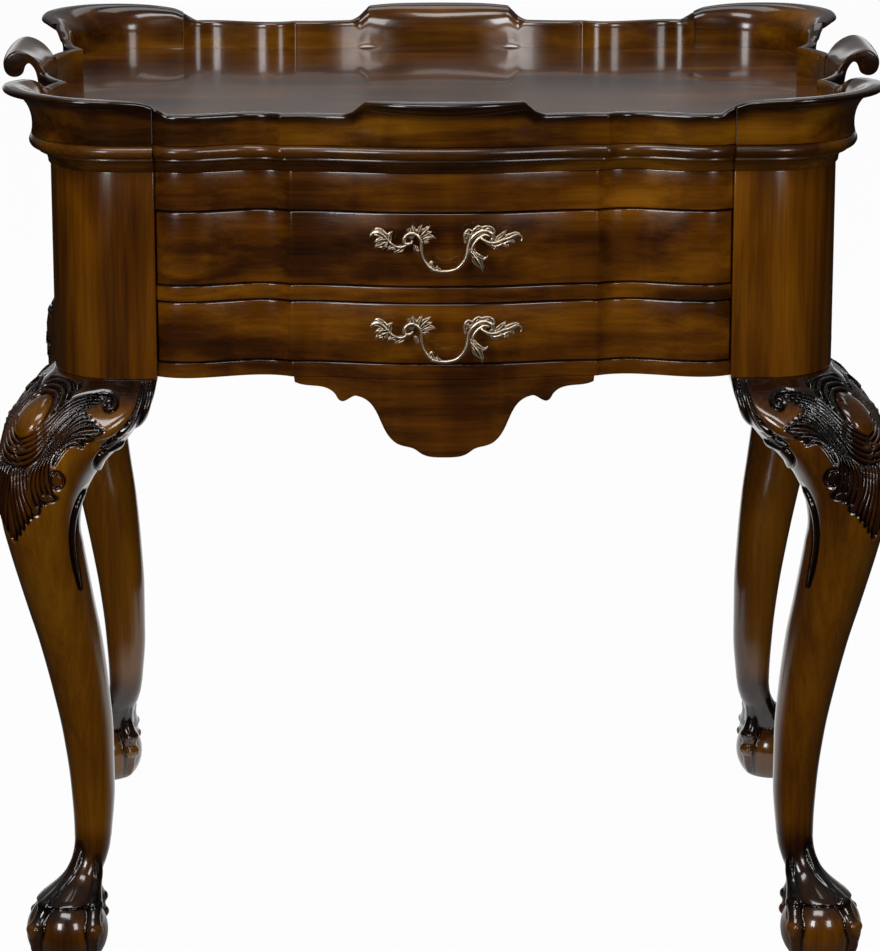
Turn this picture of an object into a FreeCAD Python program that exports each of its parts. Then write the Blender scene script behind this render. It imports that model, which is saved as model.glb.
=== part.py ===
"""Serpentine tray top tea table with two drawers, on cabriole legs with ball-and-claw feet.

Frame: millimetres, +Z up, origin on the floor under the middle of the table.
The front of the table faces -Y, and +X is to the right of somebody who faces it.
"""
import FreeCAD
import Part
import math
import os

from FreeCAD import Vector

# ---------------------------------------------------------------- driving dimensions
# Case
case_half_width = 337.0         # middle to the side face of a corner post
case_half_depth = 250.0         # middle to the front face of a corner post
post_face = 91.5                # width of each flat-on face of a post
post_round = 60.0               # radius of the outer corner of a post
leg_height = 525.5              # floor to the underside of the post
case_drop = 1.5                 # underside of the lower rail above the leg top
panel_thickness = 18.0          # side and back panels, at their thinnest

# Fronts, from the bottom up
lower_rail_height = 13.0
lower_drawer_height = 52.2
mid_rail_height = 13.4
upper_drawer_height = 63.2
frieze_height = 34.0
drawer_gap = 0.8                # above and below each drawer front
drawer_side_gap = 1.2           # between a drawer front and the post
front_thickness = 18.0          # drawer fronts at the hollow of the wave
rail_extra = 20.0               # how much deeper the rails under the drawers are

# The wave of the front: share of the opening's half width, and reach beyond the post face
front_wave = {"seam": (1.000, -5.0), "bulge": (0.868, 2.0), "hollow": (0.665, -10.0),
              "arris": (0.530, -3.0), "shoulder": (0.428, -2.5), "bow": (0.204, 7.0),
              "crown": (0.000, 10.0)}
# The wave of the side: share of the side opening's half length, and reach
side_wave = {"seam": (1.000, -2.0), "lobe": (0.800, -3.0), "cusp": (0.580, -15.0),
             "swell": (0.330, 4.0), "crown": (0.000, 8.0)}
arris_creep = 0.5               # how far the crease walks outward per unit of offset

# Top
band_height = 13.0              # cavetto moulding under the tray
band_reach = 10.0
bead_height = 12.0              # half-round moulding round the edge of the tray
bead_reach = 18.0
ring_inset = 16.0               # inner edge of the band, behind the post face

# Gallery
gallery_inner = 7.0             # inner face of the gallery wall beyond the post face
gallery_outer = 16.0            # outer face
tray_edge_in = 2.0               # edge of the tray board inside the gallery's inner face
gallery_low = 26.0              # height of the low wall above the tray
centre_lip_half = 66.0          # half length of the raised lip at the front and back
centre_lip_ramp = 20.0          # length of each sweep down from that lip
handle_half = 45.0              # half length of the scroll handles at the sides
corner_drop = 14.0              # how far the corner piece's sweep passes the seam, front
corner_drop_side = 37.0         # the same along the side

# Drawers
side_board = 11.0               # drawer sides and backs
bottom_board = 6.0
bottom_groove = 7.0             # underside of the drawer bottom above the sides' lower edge
runner_clear = 0.3              # a drawer side over its runner
drawer_side_clear = 1.0         # a drawer side beside the posts
drawer_back_room = 14.0         # behind a closed drawer
side_top_room = 10.0            # drawer side below the top of its front

# Runners and inner pieces
runner_width = 24.0
runner_height = 13.0
dust_board_thickness = 5.0
dust_board_rise = 3.0           # underside of the dust board above that of the middle rail
glue_block_width = 22.0
glue_block_length = 44.0
glue_block_drop = 20.0          # down the side panel
stop_length = 30.0
stop_width = 12.0
stop_height = 4.0
stop_clear = 0.3                # a stop behind the back of a closed drawer front

# Apron under the lower rail
apron_depth = 69.0
apron_back_in = 6.0             # back of the apron in front of the drawer fronts' backs

# Feet
ball_radius = 36.0
ball_centre_in = 2.5            # ball centre inside the faces of the post
ball_sink = 12.0                # how much of the ball the floor cuts flat
dowel_radius = 13.0
dowel_length = 55.0
dowel_clear = 0.2

# Pulls
pull_below_top = 19.0           # scrolls below the top edge of the drawer front
pull_stand = 17.0               # crown of the drawer front to the middle of the bail
stem_places = (-28.0, 33.0)     # one stem behind each scroll
stem_rise = 3.0                 # stems above the middle of the left scroll
stem_radius = 4.0
bolt_radius = 2.2
bolt_hole_clear = 0.2
leaf_thickness = 3.0
nut_radius = 6.5
nut_height = 4.0
bolt_end = 4.0                  # bolt past its nut

# ---------------------------------------------------------------- worked-out levels
seam_x = case_half_width - post_face
seam_y = case_half_depth - post_face
lower_rail_z = leg_height + case_drop
lower_drawer_z = lower_rail_z + lower_rail_height + drawer_gap
mid_rail_z = lower_drawer_z + lower_drawer_height + drawer_gap
upper_drawer_z = mid_rail_z + mid_rail_height + drawer_gap
frieze_z = upper_drawer_z + upper_drawer_height + drawer_gap
case_top_z = frieze_z + frieze_height
band_top_z = case_top_z + band_height
tray_z = band_top_z + bead_height
wall_top_z = tray_z + gallery_low
# Flat backs of the drawer fronts and of the rails under them
front_back_y = -(case_half_depth + front_wave["hollow"][1] - front_thickness)
rail_back_y = front_back_y + rail_extra
crown_y = -(case_half_depth + front_wave["crown"][1])
# Flat inner faces of the side panels and of the back panel
panel_inner_x = case_half_width + side_wave["cusp"][1] - panel_thickness
back_inner_y = case_half_depth + front_wave["hollow"][1] - panel_thickness

far = case_half_width + case_half_depth     # further out than any piece

section_points = 24             # points round a section of a leg
loft_degree = 3

os.makedirs("parts", exist_ok=True)


# ---------------------------------------------------------------- small helpers
def write(name, shape):
    """Writes one node to parts/."""
    shape.exportStep(os.path.join("parts", name + ".step"))


def box(x0, x1, y0, y1, z0, z1):
    """An upright box between two corners."""
    return Part.makeBox(x1 - x0, y1 - y0, z1 - z0, Vector(x0, y0, z0))


def spline(points):
    """A smooth curve through points."""
    curve = Part.BSplineCurve()
    curve.interpolate(points)
    return curve


def line(a, b):
    """A straight edge."""
    return Part.makeLine(a, b)


def mirror_x(shape):
    """The same piece on the other side of the middle, left to right."""
    return shape.mirror(Vector(0, 0, 0), Vector(1, 0, 0))


def mirror_y(shape):
    """The same piece at the other end of the case, front to back."""
    return shape.mirror(Vector(0, 0, 0), Vector(0, 1, 0))


def mirrored(point):
    """The same point on the other side of the middle, left to right."""
    return Vector(-point.x, point.y, point.z)


def corner_copies(shape):
    """A front-left piece carried to the four corners, by corner name."""
    return {"front_left": shape, "front_right": mirror_x(shape),
            "back_left": mirror_y(shape), "back_right": mirror_y(mirror_x(shape))}


def fused(shapes):
    """One solid out of pieces that touch or overlap."""
    return shapes[0].fuse(shapes[1:]).removeSplitter()


def solid_loft(wires, ruled=False):
    """A closed solid through section wires. A low degree keeps it from swinging between them."""
    return Part.makeLoft(wires, True, ruled, False, loft_degree)


def ring_wire(points):
    """A closed smooth section through points."""
    curve = Part.BSplineCurve()
    curve.interpolate(Points=points, PeriodicFlag=True)
    return Part.Wire(curve.toShape())


def tapered_tube(places, radii, normal):
    """A round bar of changing radius along places that lie in a plane with this normal."""
    wires = []
    for index, (place, radius) in enumerate(zip(places, radii)):
        way = places[min(index + 1, len(places) - 1)] - places[max(index - 1, 0)]
        across = normal.cross(way).normalize()
        points = []
        for step in range(9):
            angle = math.pi * step / 4
            points.append(place + normal * (radius * math.cos(angle))
                          + across * (radius * math.sin(angle)))
        arcs = [Part.Arc(*points[first:first + 3]).toShape() for first in (0, 2, 4, 6)]
        wires.append(Part.Wire(arcs))
    return solid_loft(wires)


# ---------------------------------------------------------------- plan of the case
def front_curves(offset, end_x=None):
    """The three curves of the front, left to right, at z 0 and an offset outward."""
    end_x = seam_x if end_x is None else end_x
    y0 = -(case_half_depth + offset)
    arris = front_wave["arris"][0] * seam_x + arris_creep * max(offset, 0.0)

    def place(name, x=None):
        share, reach = front_wave[name]
        return Vector(share * seam_x if x is None else x, y0 - reach, 0)

    outer = [place("seam", end_x), place("bulge"), place("hollow"), place("arris", arris)]
    inner = [place("arris", arris), place("shoulder"), place("bow"), place("crown")]
    right = spline(outer)
    left = spline([Vector(-p.x, p.y, 0) for p in outer])
    middle = spline([Vector(-p.x, p.y, 0) for p in inner] + inner[-2::-1])
    return left, middle, right


def side_curves(offset):
    """The three curves of the right side, front to back, at z 0 and an offset outward."""
    x0 = case_half_width + offset

    def place(name):
        share, reach = side_wave[name]
        return Vector(x0 + reach, -share * seam_y, 0)

    outer = [place("seam"), place("lobe"), place("cusp")]
    inner = [place("cusp"), place("swell"), place("crown")]
    front = spline(outer)
    back = spline([Vector(p.x, -p.y, 0) for p in outer])
    middle = spline(inner + [Vector(p.x, -p.y, 0) for p in inner[-2::-1]])
    return front, middle, back


def point_on(curve, axis, value):
    """The point of a plan curve where one coordinate (0 for x, 1 for y) has this value."""
    low, high = curve.FirstParameter, curve.LastParameter
    rising = curve.value(high)[axis] > curve.value(low)[axis]
    for _ in range(50):
        middle = 0.5 * (low + high)
        if (curve.value(middle)[axis] < value) == rising:
            low = middle
        else:
            high = middle
    return curve.value(0.5 * (low + high))


def corner_edges(offset):
    """Edges of the front-right corner of the plan, from the front seam to the side seam."""
    x1 = case_half_width + offset
    y1 = -(case_half_depth + offset)
    centre = Vector(case_half_width - post_round, -(case_half_depth - post_round), 0)
    radius = post_round + offset
    slant = radius / math.sqrt(2)
    front_start = Vector(seam_x, y1 - front_wave["seam"][1], 0)
    side_end = Vector(x1 + side_wave["seam"][1], -seam_y, 0)
    flat_start = Vector(seam_x, y1, 0)
    arc_start = Vector(centre.x, y1, 0)
    arc_middle = Vector(centre.x + slant, centre.y - slant, 0)
    arc_end = Vector(x1, centre.y, 0)
    flat_end = Vector(x1, -seam_y, 0)
    return [line(front_start, flat_start), line(flat_start, arc_start),
            Part.Arc(arc_start, arc_middle, arc_end).toShape(),
            line(arc_end, flat_end), line(flat_end, side_end)]


def outline(offset, z):
    """The closed plan outline of the whole case, grown outward by an offset, at one level."""
    front = [curve.toShape() for curve in front_curves(offset)]
    side = [curve.toShape() for curve in side_curves(offset)]
    corner = corner_edges(offset)
    edges = front + corner + side
    edges += [mirror_y(edge) for edge in corner + front]
    edges += [mirror_x(edge) for edge in corner + side]
    edges += [mirror_x(mirror_y(edge)) for edge in corner]
    wire = Part.Wire(Part.sortEdges(edges)[0])
    wire.translate(Vector(0, 0, z))
    return wire


def slab(offset, z0, z1):
    """The whole plan as a board between two levels."""
    return Part.Face(outline(offset, z0)).extrude(Vector(0, 0, z1 - z0))


def front_board(back_y, half_width, z0, z1):
    """A board with the waved front face, a flat back and straight ends."""
    left, middle, right = [curve.toShape() for curve in front_curves(0, half_width)]
    ends = sorted([vertex.Point for edge in (left, right) for vertex in edge.Vertexes],
                  key=lambda point: point.x)
    near_left, near_right = ends[0], ends[-1]
    far_left = Vector(near_left.x, back_y, 0)
    far_right = Vector(near_right.x, back_y, 0)
    edges = [left, middle, right, line(near_right, far_right),
             line(far_right, far_left), line(far_left, near_left)]
    face = Part.Face(Part.Wire(Part.sortEdges(edges)[0]))
    face.translate(Vector(0, 0, z0))
    return face.extrude(Vector(0, 0, z1 - z0))


def side_board_shape(z0, z1):
    """The right side panel: waved outside, flat inside."""
    curves = [curve.toShape() for curve in side_curves(0)]
    y0 = -seam_y
    near_front = Vector(case_half_width + side_wave["seam"][1], y0, 0)
    near_back = Vector(near_front.x, -y0, 0)
    far_front = Vector(panel_inner_x, y0, 0)
    far_back = Vector(panel_inner_x, -y0, 0)
    edges = curves + [line(near_back, far_back), line(far_back, far_front),
                      line(far_front, near_front)]
    face = Part.Face(Part.Wire(Part.sortEdges(edges)[0]))
    face.translate(Vector(0, 0, z0))
    return face.extrude(Vector(0, 0, z1 - z0))


# ---------------------------------------------------------------- posts
def corner_post():
    """The front-left post: a block with a round outer corner and a bore for the leg's dowel."""
    x_out, y_out = -case_half_width, -case_half_depth
    x_in, y_in = -seam_x, -seam_y
    centre = Vector(x_out + post_round, y_out + post_round, 0)
    slant = post_round / math.sqrt(2)
    a = Vector(centre.x, y_out, 0)
    b = Vector(x_out, centre.y, 0)
    arc = Part.Arc(a, Vector(centre.x - slant, centre.y - slant, 0), b).toShape()
    edges = [line(Vector(x_in, y_out, 0), a), arc, line(b, Vector(x_out, y_in, 0)),
             line(Vector(x_out, y_in, 0), Vector(x_in, y_in, 0)),
             line(Vector(x_in, y_in, 0), Vector(x_in, y_out, 0))]
    face = Part.Face(Part.Wire(edges))
    face.translate(Vector(0, 0, leg_height))
    block = face.extrude(Vector(0, 0, case_top_z - leg_height))
    middle = post_middle()
    bore = Part.makeCylinder(dowel_radius + dowel_clear, dowel_length + 2.0,
                             Vector(middle.x, middle.y, leg_height))
    return block.cut(bore)


def post_middle():
    """The middle of the front-left post in plan."""
    return Vector(-(seam_x + case_half_width) / 2, -(seam_y + case_half_depth) / 2, 0)


for corner, shape in corner_copies(corner_post()).items():
    write("corner_post_" + corner, shape)


# ---------------------------------------------------------------- legs and feet
# Share of the leg's height, outer reach beyond the post face, inner edge inward of the
# post face, and the radii of the outward corner, the inward corner and the two side corners.
# A section is fully round where a radius is more than half its width.
leg_sections = [
    (1.000, 0.0, 91.5, 60, 8, 8), (0.974, 17.0, 88.5, 60, 14, 18),
    (0.948, 31.0, 83.5, 62, 22, 30), (0.922, 39.5, 75.0, 80, 34, 44),
    (0.894, 44.0, 62.5, 80, 80, 80), (0.866, 46.0, 46.0, 80, 80, 80),
    (0.837, 46.6, 34.5, 80, 80, 80), (0.799, 45.6, 26.0, 80, 80, 80),
    (0.761, 43.0, 23.6, 80, 80, 80), (0.723, 38.8, 26.0, 80, 80, 80),
    (0.620, 25.6, 33.6, 80, 80, 80), (0.550, 16.2, 39.0, 80, 80, 80),
    (0.463, 6.4, 43.2, 80, 80, 80), (0.377, -1.6, 45.6, 80, 80, 80),
    (0.289, -6.8, 45.6, 80, 80, 80), (0.202, -9.0, 42.0, 80, 80, 80),
    (0.167, -8.6, 40.0, 80, 80, 80), (0.125, -2.0, 32.0, 80, 80, 80),
]


def rounded_reach(half, direction, radii):
    """How far a square with four corner radii reaches from its middle in a direction."""
    cos_a, sin_a = math.cos(direction), math.sin(direction)
    outward, inward, sideways = [min(radius, half) for radius in radii]
    if cos_a >= 0 and sin_a >= 0:
        radius = outward
    elif cos_a < 0 and sin_a < 0:
        radius = inward
    else:
        radius = sideways
    u, v = abs(cos_a), abs(sin_a)
    core = half - radius
    low, high = 0.0, 2 * half
    for _ in range(40):
        reach = 0.5 * (low + high)
        du, dv = reach * u - core, reach * v - core
        inside = max(reach * u, reach * v) <= half
        if du > 0 and dv > 0:
            inside = inside and math.hypot(du, dv) <= radius
        if inside:
            low = reach
        else:
            high = reach
    return low


def leg_section(share, outer, inner, radii):
    """One closed section of the front-left leg."""
    half = 0.5 * (outer + inner)
    middle_x = -(case_half_width + outer - half)
    middle_y = -(case_half_depth + outer - half)
    z = share * leg_height
    points = []
    for step in range(section_points):
        direction = 2 * math.pi * step / section_points
        reach = rounded_reach(half, direction, radii)
        points.append(Vector(middle_x - reach * math.cos(direction),
                             middle_y - reach * math.sin(direction), z))
    return ring_wire(points)


# Each toe, from the ankle over its two knuckles to the tip of its nail: how far ahead of the
# ball's middle and how far aside of it, height and radius
toe_front = [(-20, 0, 97, 7.0), (-10, 0, 84, 7.5), (3, 0, 70, 8.0), (15, 0, 59, 8.0),
             (26, 0, 49, 9.0), (32, 0, 40, 7.2), (36, 0, 31.5, 8.8), (37, 0, 24, 6.4),
             (36.5, 0, 17, 6.4), (34, 0, 8.5, 4.5), (31.4, 0, 2.6, 2.0)]
toe_side = [(-27, 8, 97, 7.0), (-23, 12, 84, 7.5), (-19, 16, 70, 8.0), (-13, 21.5, 59, 8.0),
            (-8, 26.5, 49.5, 8.8), (-3, 32, 41, 7.2), (1, 35.5, 32.5, 8.6), (1.5, 36.5, 25, 6.4),
            (1, 35.5, 17.5, 6.4), (0, 32.5, 8.5, 4.5), (0, 30.2, 2.6, 2.0)]
toe_back = [(-39, 0, 97, 7.0), (-38, 0, 82, 7.5), (-36.5, 0, 68, 8.0), (-36, 0, 55, 8.5),
            (-35.5, 0, 45, 7.2), (-36, 0, 34, 8.6), (-36.5, 0, 26, 6.4), (-36, 0, 18, 6.4),
            (-33.5, 0, 8.5, 4.5), (-28, 0, 1.5, 2.0)]
# The palm between the toes, from the ankle down to the ball: how far ahead of the ball's
# middle, height and radius
palm_rings = [(-32, 98, 15.8), (-30, 86, 16.2), (-25, 75, 18.0), (-18, 66, 20.5), (-10, 59, 24.5),
              (-3.5, 53, 28.5), (0, 49, 30.2)]
outward = Vector(-1, -1, 0).normalize()     # the front-left leg's way out, along its diagonal
sideways = Vector(-1, 1, 0).normalize()


def toe(stations, side, ball):
    """One toe of the claw. A side of 1 or -1 says which way its places aside go."""
    places = [Vector(ball.x, ball.y, height) + outward * ahead + sideways * (aside * side)
              for ahead, aside, height, _ in stations]
    run = places[4] - places[0]
    normal = Vector(-run.y, run.x, 0).normalize()
    return tapered_tube(places, [station[3] for station in stations], normal)


def palm(ball):
    """The web that spreads from the ankle over the top of the ball."""
    rings = [Part.Wire(Part.Circle(Vector(ball.x, ball.y, height) + outward * ahead, Vector(0, 0, 1),
                                   radius).toShape())
             for ahead, height, radius in palm_rings]
    return solid_loft(rings)


def leg():
    """The front-left leg: cabriole shaft, palm, ball, four toes and the dowel into the post."""
    wires = [leg_section(s[0], s[1], s[2], s[3:]) for s in leg_sections]
    shaft = solid_loft(wires)
    ball = Vector(-(case_half_width - ball_centre_in), -(case_half_depth - ball_centre_in), 0)
    sphere = Part.makeSphere(ball_radius, Vector(ball.x, ball.y, ball_radius - ball_sink))
    toes = [toe(toe_front, 1, ball), toe(toe_back, 1, ball), toe(toe_side, 1, ball),
            toe(toe_side, -1, ball)]
    middle = post_middle()
    dowel = Part.makeCylinder(dowel_radius, dowel_length + 5,
                              Vector(middle.x, middle.y, leg_height - 5))
    floor = box(ball.x - 80, ball.x + 80, ball.y - 80, ball.y + 80, -40, 0)
    return fused([shaft, palm(ball), sphere, dowel] + toes).cut(floor)


for corner, shape in corner_copies(leg()).items():
    write("leg_" + corner, shape)


# ---------------------------------------------------------------- case panels and rails
side_panel = side_board_shape(lower_rail_z, case_top_z)
write("side_panel_right", side_panel)
write("side_panel_left", mirror_x(side_panel))

back_panel = mirror_y(front_board(-back_inner_y, seam_x, lower_rail_z, case_top_z))
write("back_panel", back_panel)

lower_rail_top = lower_rail_z + lower_rail_height
mid_rail_top = mid_rail_z + mid_rail_height
write("lower_rail", front_board(rail_back_y, seam_x, lower_rail_z, lower_rail_top))
write("mid_rail", front_board(rail_back_y, seam_x, mid_rail_z, mid_rail_top))
write("frieze_rail", front_board(front_back_y, seam_x, frieze_z, case_top_z))


def side_strip(front_y, top):
    """A strip beside the left posts, from a rail to the back panel, with its top at a level."""
    return box(-seam_x, -seam_x + runner_width, front_y, back_inner_y, top - runner_height, top)


# Runners carry the drawer sides. Kickers stop the upper drawer from tipping as it comes out.
for name, strip in (("lower_runner", side_strip(rail_back_y, lower_rail_top)),
                    ("upper_runner", side_strip(rail_back_y, mid_rail_top)),
                    ("kicker", side_strip(front_back_y, frieze_z + runner_height))):
    write(name + "_left", strip)
    write(name + "_right", mirror_x(strip))

dust_board_z = mid_rail_z + dust_board_rise
write("dust_board", box(-seam_x + runner_width, seam_x - runner_width, rail_back_y, back_inner_y,
                        dust_board_z, dust_board_z + dust_board_thickness))

# Blocks glued in the angle between each side panel and the tray board
blocks = []
for y in (-0.7 * seam_y, 0.0, 0.7 * seam_y):
    corner = Vector(panel_inner_x, y - glue_block_length / 2, band_top_z)
    inward = corner - Vector(glue_block_width, 0, 0)
    foot = Vector(corner.x, corner.y, case_top_z - glue_block_drop)
    face = Part.Face(Part.makePolygon([corner, inward, foot, corner]))
    block = face.extrude(Vector(0, glue_block_length, 0))
    blocks += [block, mirror_x(block)]
write("glue_blocks", Part.makeCompound(blocks))

# Stops glued on the rails behind the drawer fronts
stops = []
for top in (lower_rail_top, mid_rail_top):
    x0 = 0.6 * seam_x - stop_length / 2
    y0 = front_back_y + stop_clear
    stop = box(x0, x0 + stop_length, y0, y0 + stop_width, top, top + stop_height)
    stops += [stop, mirror_x(stop)]
write("drawer_stops", Part.makeCompound(stops))


def apron():
    """The shaped drop under the lower rail, with the same wave on its face."""
    crease = front_wave["arris"][0] * seam_x
    # Right half of the outline: (share of the crease, depth below the rail)
    brow = [(0.985, 5.0), (0.925, 7.6), (0.780, 10.0), (0.715, 16.0)]
    nib = [(0.715, 16.0), (0.660, 21.2), (0.620, 18.2), (0.585, 16.0)]
    sweep = [(0.585, 16.0), (0.475, 24.0), (0.405, 42.0), (0.340, 54.5)]
    tail = [(0.340, 54.5), (0.255, 59.5), (0.200, 61.5), (0.155, 65.5), (0.0, apron_depth)]

    def place(share, depth):
        return Vector(share * crease, 0, lower_rail_z - depth)

    top_right = place(0.990, 0.0)
    right = [line(top_right, place(*brow[0]))]
    right += [spline([place(*point) for point in part]).toShape() for part in (brow, nib, sweep)]
    tail_left = [place(-share, depth) for share, depth in tail[:-1]]
    middle = spline([place(*point) for point in tail] + tail_left[::-1]).toShape()
    lid = line(mirrored(top_right), top_right)
    edges = right + [middle, lid] + [mirror_x(edge) for edge in right]
    face = Part.Face(Part.Wire(Part.sortEdges(edges)[0]))
    face.translate(Vector(0, -far, 0))
    board = front_board(front_back_y - apron_back_in, seam_x, lower_rail_z - apron_depth, lower_rail_z)
    return board.common(face.extrude(Vector(0, 2 * far, 0)))


write("apron", apron())


# ---------------------------------------------------------------- tray and its mouldings
def moulded_ring(profile, inner_offset):
    """A moulding right round the case: (offset, z) pairs outside, a straight inner edge."""
    outside = solid_loft([outline(offset, z) for offset, z in profile], True)
    z0, z1 = profile[0][1], profile[-1][1]
    return outside.cut(slab(inner_offset, z0 - 1, z1 + 1))


band_profile = [(2.0, case_top_z), (3.0, case_top_z + 3.5), (5.5, case_top_z + 7.5),
                (band_reach, case_top_z + 10.5), (band_reach, band_top_z)]
write("band_moulding", moulded_ring(band_profile, -ring_inset))

bead_mid_z = (band_top_z + tray_z) / 2
bead_half = (tray_z - band_top_z) / 2
bead_profile = []
for degrees in (-90, -54, -18, 18, 54, 90):
    angle = math.radians(degrees)
    bead_profile.append((bead_reach - bead_half + bead_half * math.cos(angle),
                         bead_mid_z + bead_half * math.sin(angle)))
tray_edge = gallery_inner - tray_edge_in
write("bead_moulding", moulded_ring(bead_profile, tray_edge))

write("tray_board", slab(tray_edge, band_top_z, tray_z))


# ---------------------------------------------------------------- gallery
def wall_section(height, flare, lip, place):
    """One section of the gallery wall. place(offset, z) puts an offset and level in space."""
    top = tray_z + height
    z0 = tray_z
    root_in = place(gallery_inner, z0)
    root_out = place(gallery_outer, z0)
    lip_low = place(gallery_outer + flare, top - lip)
    lip_high = place(gallery_outer + flare - 0.25 * lip, top)
    lip_nose = place(gallery_outer + flare + 0.35 * lip, top - 0.45 * lip)
    rise = height - lip
    outside = spline([root_out, place(gallery_outer + 0.05 * flare, z0 + 0.55 * rise),
                      place(gallery_outer + 0.38 * flare, z0 + 0.86 * rise), lip_low])
    inside = spline([lip_high, place(gallery_inner + 0.55 * flare + 3.0, top - 2.2),
                     place(gallery_inner + 0.12 * flare, z0 + 0.62 * height), root_in])
    nose = Part.Arc(lip_low, lip_nose, lip_high).toShape()
    return Part.Wire([line(root_in, root_out), outside.toShape(), nose, inside.toShape()])


def front_place(curve, x):
    """Places offsets outward from the front's wave at one x."""
    wall = point_on(curve, 0, x)
    return lambda offset, z: Vector(x, wall.y - (offset - gallery_outer), z)


def side_place(curve, y):
    """Places offsets outward from the right side's wave at one y."""
    wall = point_on(curve, 1, y)
    return lambda offset, z: Vector(wall.x + (offset - gallery_outer), y, z)


def low_wall_ring():
    """The plain low wall of the gallery all the way round, rounded over along its top."""
    outside = [(gallery_outer, tray_z), (gallery_outer, wall_top_z - 3.0),
               (gallery_outer - 1.0, wall_top_z - 0.9), (gallery_outer - 3.0, wall_top_z)]
    inside = [(gallery_inner, tray_z), (gallery_inner, wall_top_z - 3.0),
              (gallery_inner + 1.0, wall_top_z - 0.9), (gallery_inner + 3.0, wall_top_z)]
    shell = solid_loft([outline(offset, z) for offset, z in outside], True)
    return shell.cut(solid_loft([outline(offset, z) for offset, z in inside], True))


low_ring = low_wall_ring()
# Height of the wall, how far its lip flares out, and the lip's thickness
low = (gallery_low, 0.0, 4.0)


def front_gallery():
    """The front piece of the gallery, from seam to seam, with its raised rolled lip."""
    _, middle, right = front_curves(gallery_outer)
    lip_end = centre_lip_half + centre_lip_ramp
    drop_end = seam_x - corner_drop
    ramp = [(seam_x, (33.5, 1.5, 4.5)), (seam_x - 0.45 * corner_drop, (29.5, 0.7, 4.2)),
            (drop_end, low)]
    ramp = solid_loft([wall_section(*form, front_place(right, x)) for x, form in ramp])
    plain = low_ring.common(box(lip_end, drop_end, -far, 0, tray_z, wall_top_z))
    half = [(lip_end, low), (centre_lip_half + 0.6 * centre_lip_ramp, (28.5, 0.8, 4.2)),
            (centre_lip_half + 0.25 * centre_lip_ramp, (34.5, 2.8, 5.0)),
            (centre_lip_half, (38.5, 5.0, 5.5)), (0.55 * centre_lip_half, (39.5, 9.5, 7.5)),
            (0.0, (39.5, 11.5, 9.0))]
    stations = [(-x, form) for x, form in half] + half[-2::-1]
    lip = solid_loft([wall_section(*form, front_place(middle, x)) for x, form in stations])
    return fused([lip, plain, mirror_x(plain), ramp, mirror_x(ramp)])


gallery_front = front_gallery()
write("gallery_front", gallery_front)
write("gallery_back", mirror_y(gallery_front))


def corner_gallery():
    """The front-right ear of the gallery, which flares out over the post."""
    centre = Vector(case_half_width - post_round, -(case_half_depth - post_round), 0)

    def on_front(x):
        return lambda offset, z: Vector(x, -(case_half_depth + offset), z)

    def on_side(y):
        return lambda offset, z: Vector(case_half_width + offset, y, z)

    def on_arc(degrees):
        angle = math.radians(degrees)
        return lambda offset, z: Vector(centre.x + (post_round + offset) * math.sin(angle),
                                        centre.y - (post_round + offset) * math.cos(angle), z)

    side_seam = -seam_y
    stations = [
        (on_front(seam_x), (33.5, 1.5, 4.5)), (on_front(seam_x + 9), (37.0, 3.0, 5.0)),
        (on_front(seam_x + 20), (38.5, 5.5, 5.0)), (on_arc(0), (39.5, 8.0, 5.2)),
        (on_arc(22), (41.0, 14.0, 5.5)), (on_arc(45), (42.0, 19.5, 5.8)),
        (on_arc(70), (42.3, 22.0, 6.0)), (on_arc(90), (41.5, 20.0, 6.0)),
        (on_side(0.5 * (centre.y + side_seam)), (40.5, 15.0, 5.5)),
        (on_side(side_seam), (39.0, 8.5, 5.2)),
    ]
    return solid_loft([wall_section(*form, place) for place, form in stations])


ear = mirror_x(corner_gallery())
for corner, shape in corner_copies(ear).items():
    write("gallery_corner_" + corner, shape)


def handle_section(place):
    """The scroll handle in section: out and over from the wall, ending in a full roll."""
    profile = [(gallery_outer, 0), (16.0, 12.0), (17.3, 22.0), (20.5, 30.5),
               (25.0, 34.0), (27.6, 31.5), (29.6, 25.8), (36.9, 21.8), (44.0, 24.5),
               (46.8, 32.0), (43.0, 41.0), (34.0, 44.8), (26.0, 43.0), (16.5, 36.5),
               (9.5, 26.0), (gallery_inner + 0.4, 14.0), (gallery_inner, 0)]
    places = [place(offset, tray_z + height) for offset, height in profile]
    return Part.Wire([spline(places).toShape(), line(places[-1], places[0])])


def side_gallery():
    """The right side piece: the ears' sweeps, the two notches and the scroll handle."""
    front, middle, _ = side_curves(gallery_outer)
    drop_y = -seam_y + corner_drop_side
    ramp = [(-seam_y, (38.5, 7.5, 5.2)), (-seam_y + 0.35 * corner_drop_side, (34.5, 3.5, 4.6)),
            (-seam_y + 0.7 * corner_drop_side, (28.5, 0.8, 4.2)), (drop_y, low)]
    ramp = solid_loft([wall_section(*form, side_place(front, y)) for y, form in ramp])
    plain = low_ring.common(box(0, far, drop_y, -handle_half, tray_z, wall_top_z))
    stations = (-handle_half, -0.5 * handle_half, 0.0, 0.5 * handle_half, handle_half)
    handle = solid_loft([handle_section(side_place(middle, y)) for y in stations])
    return fused([handle, plain, mirror_y(plain), ramp, mirror_y(ramp)])


gallery_side = side_gallery()
write("gallery_side_right", gallery_side)
write("gallery_side_left", mirror_x(gallery_side))


# ---------------------------------------------------------------- drawers
def drill_for_pull(front, level):
    """Cuts the two bolt holes of the pull through a drawer front."""
    for x in stem_places:
        start = Vector(x, -far, level + stem_rise)
        front = front.cut(Part.makeCylinder(bolt_radius + bolt_hole_clear, far, start, Vector(0, 1, 0)))
    return front


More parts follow.
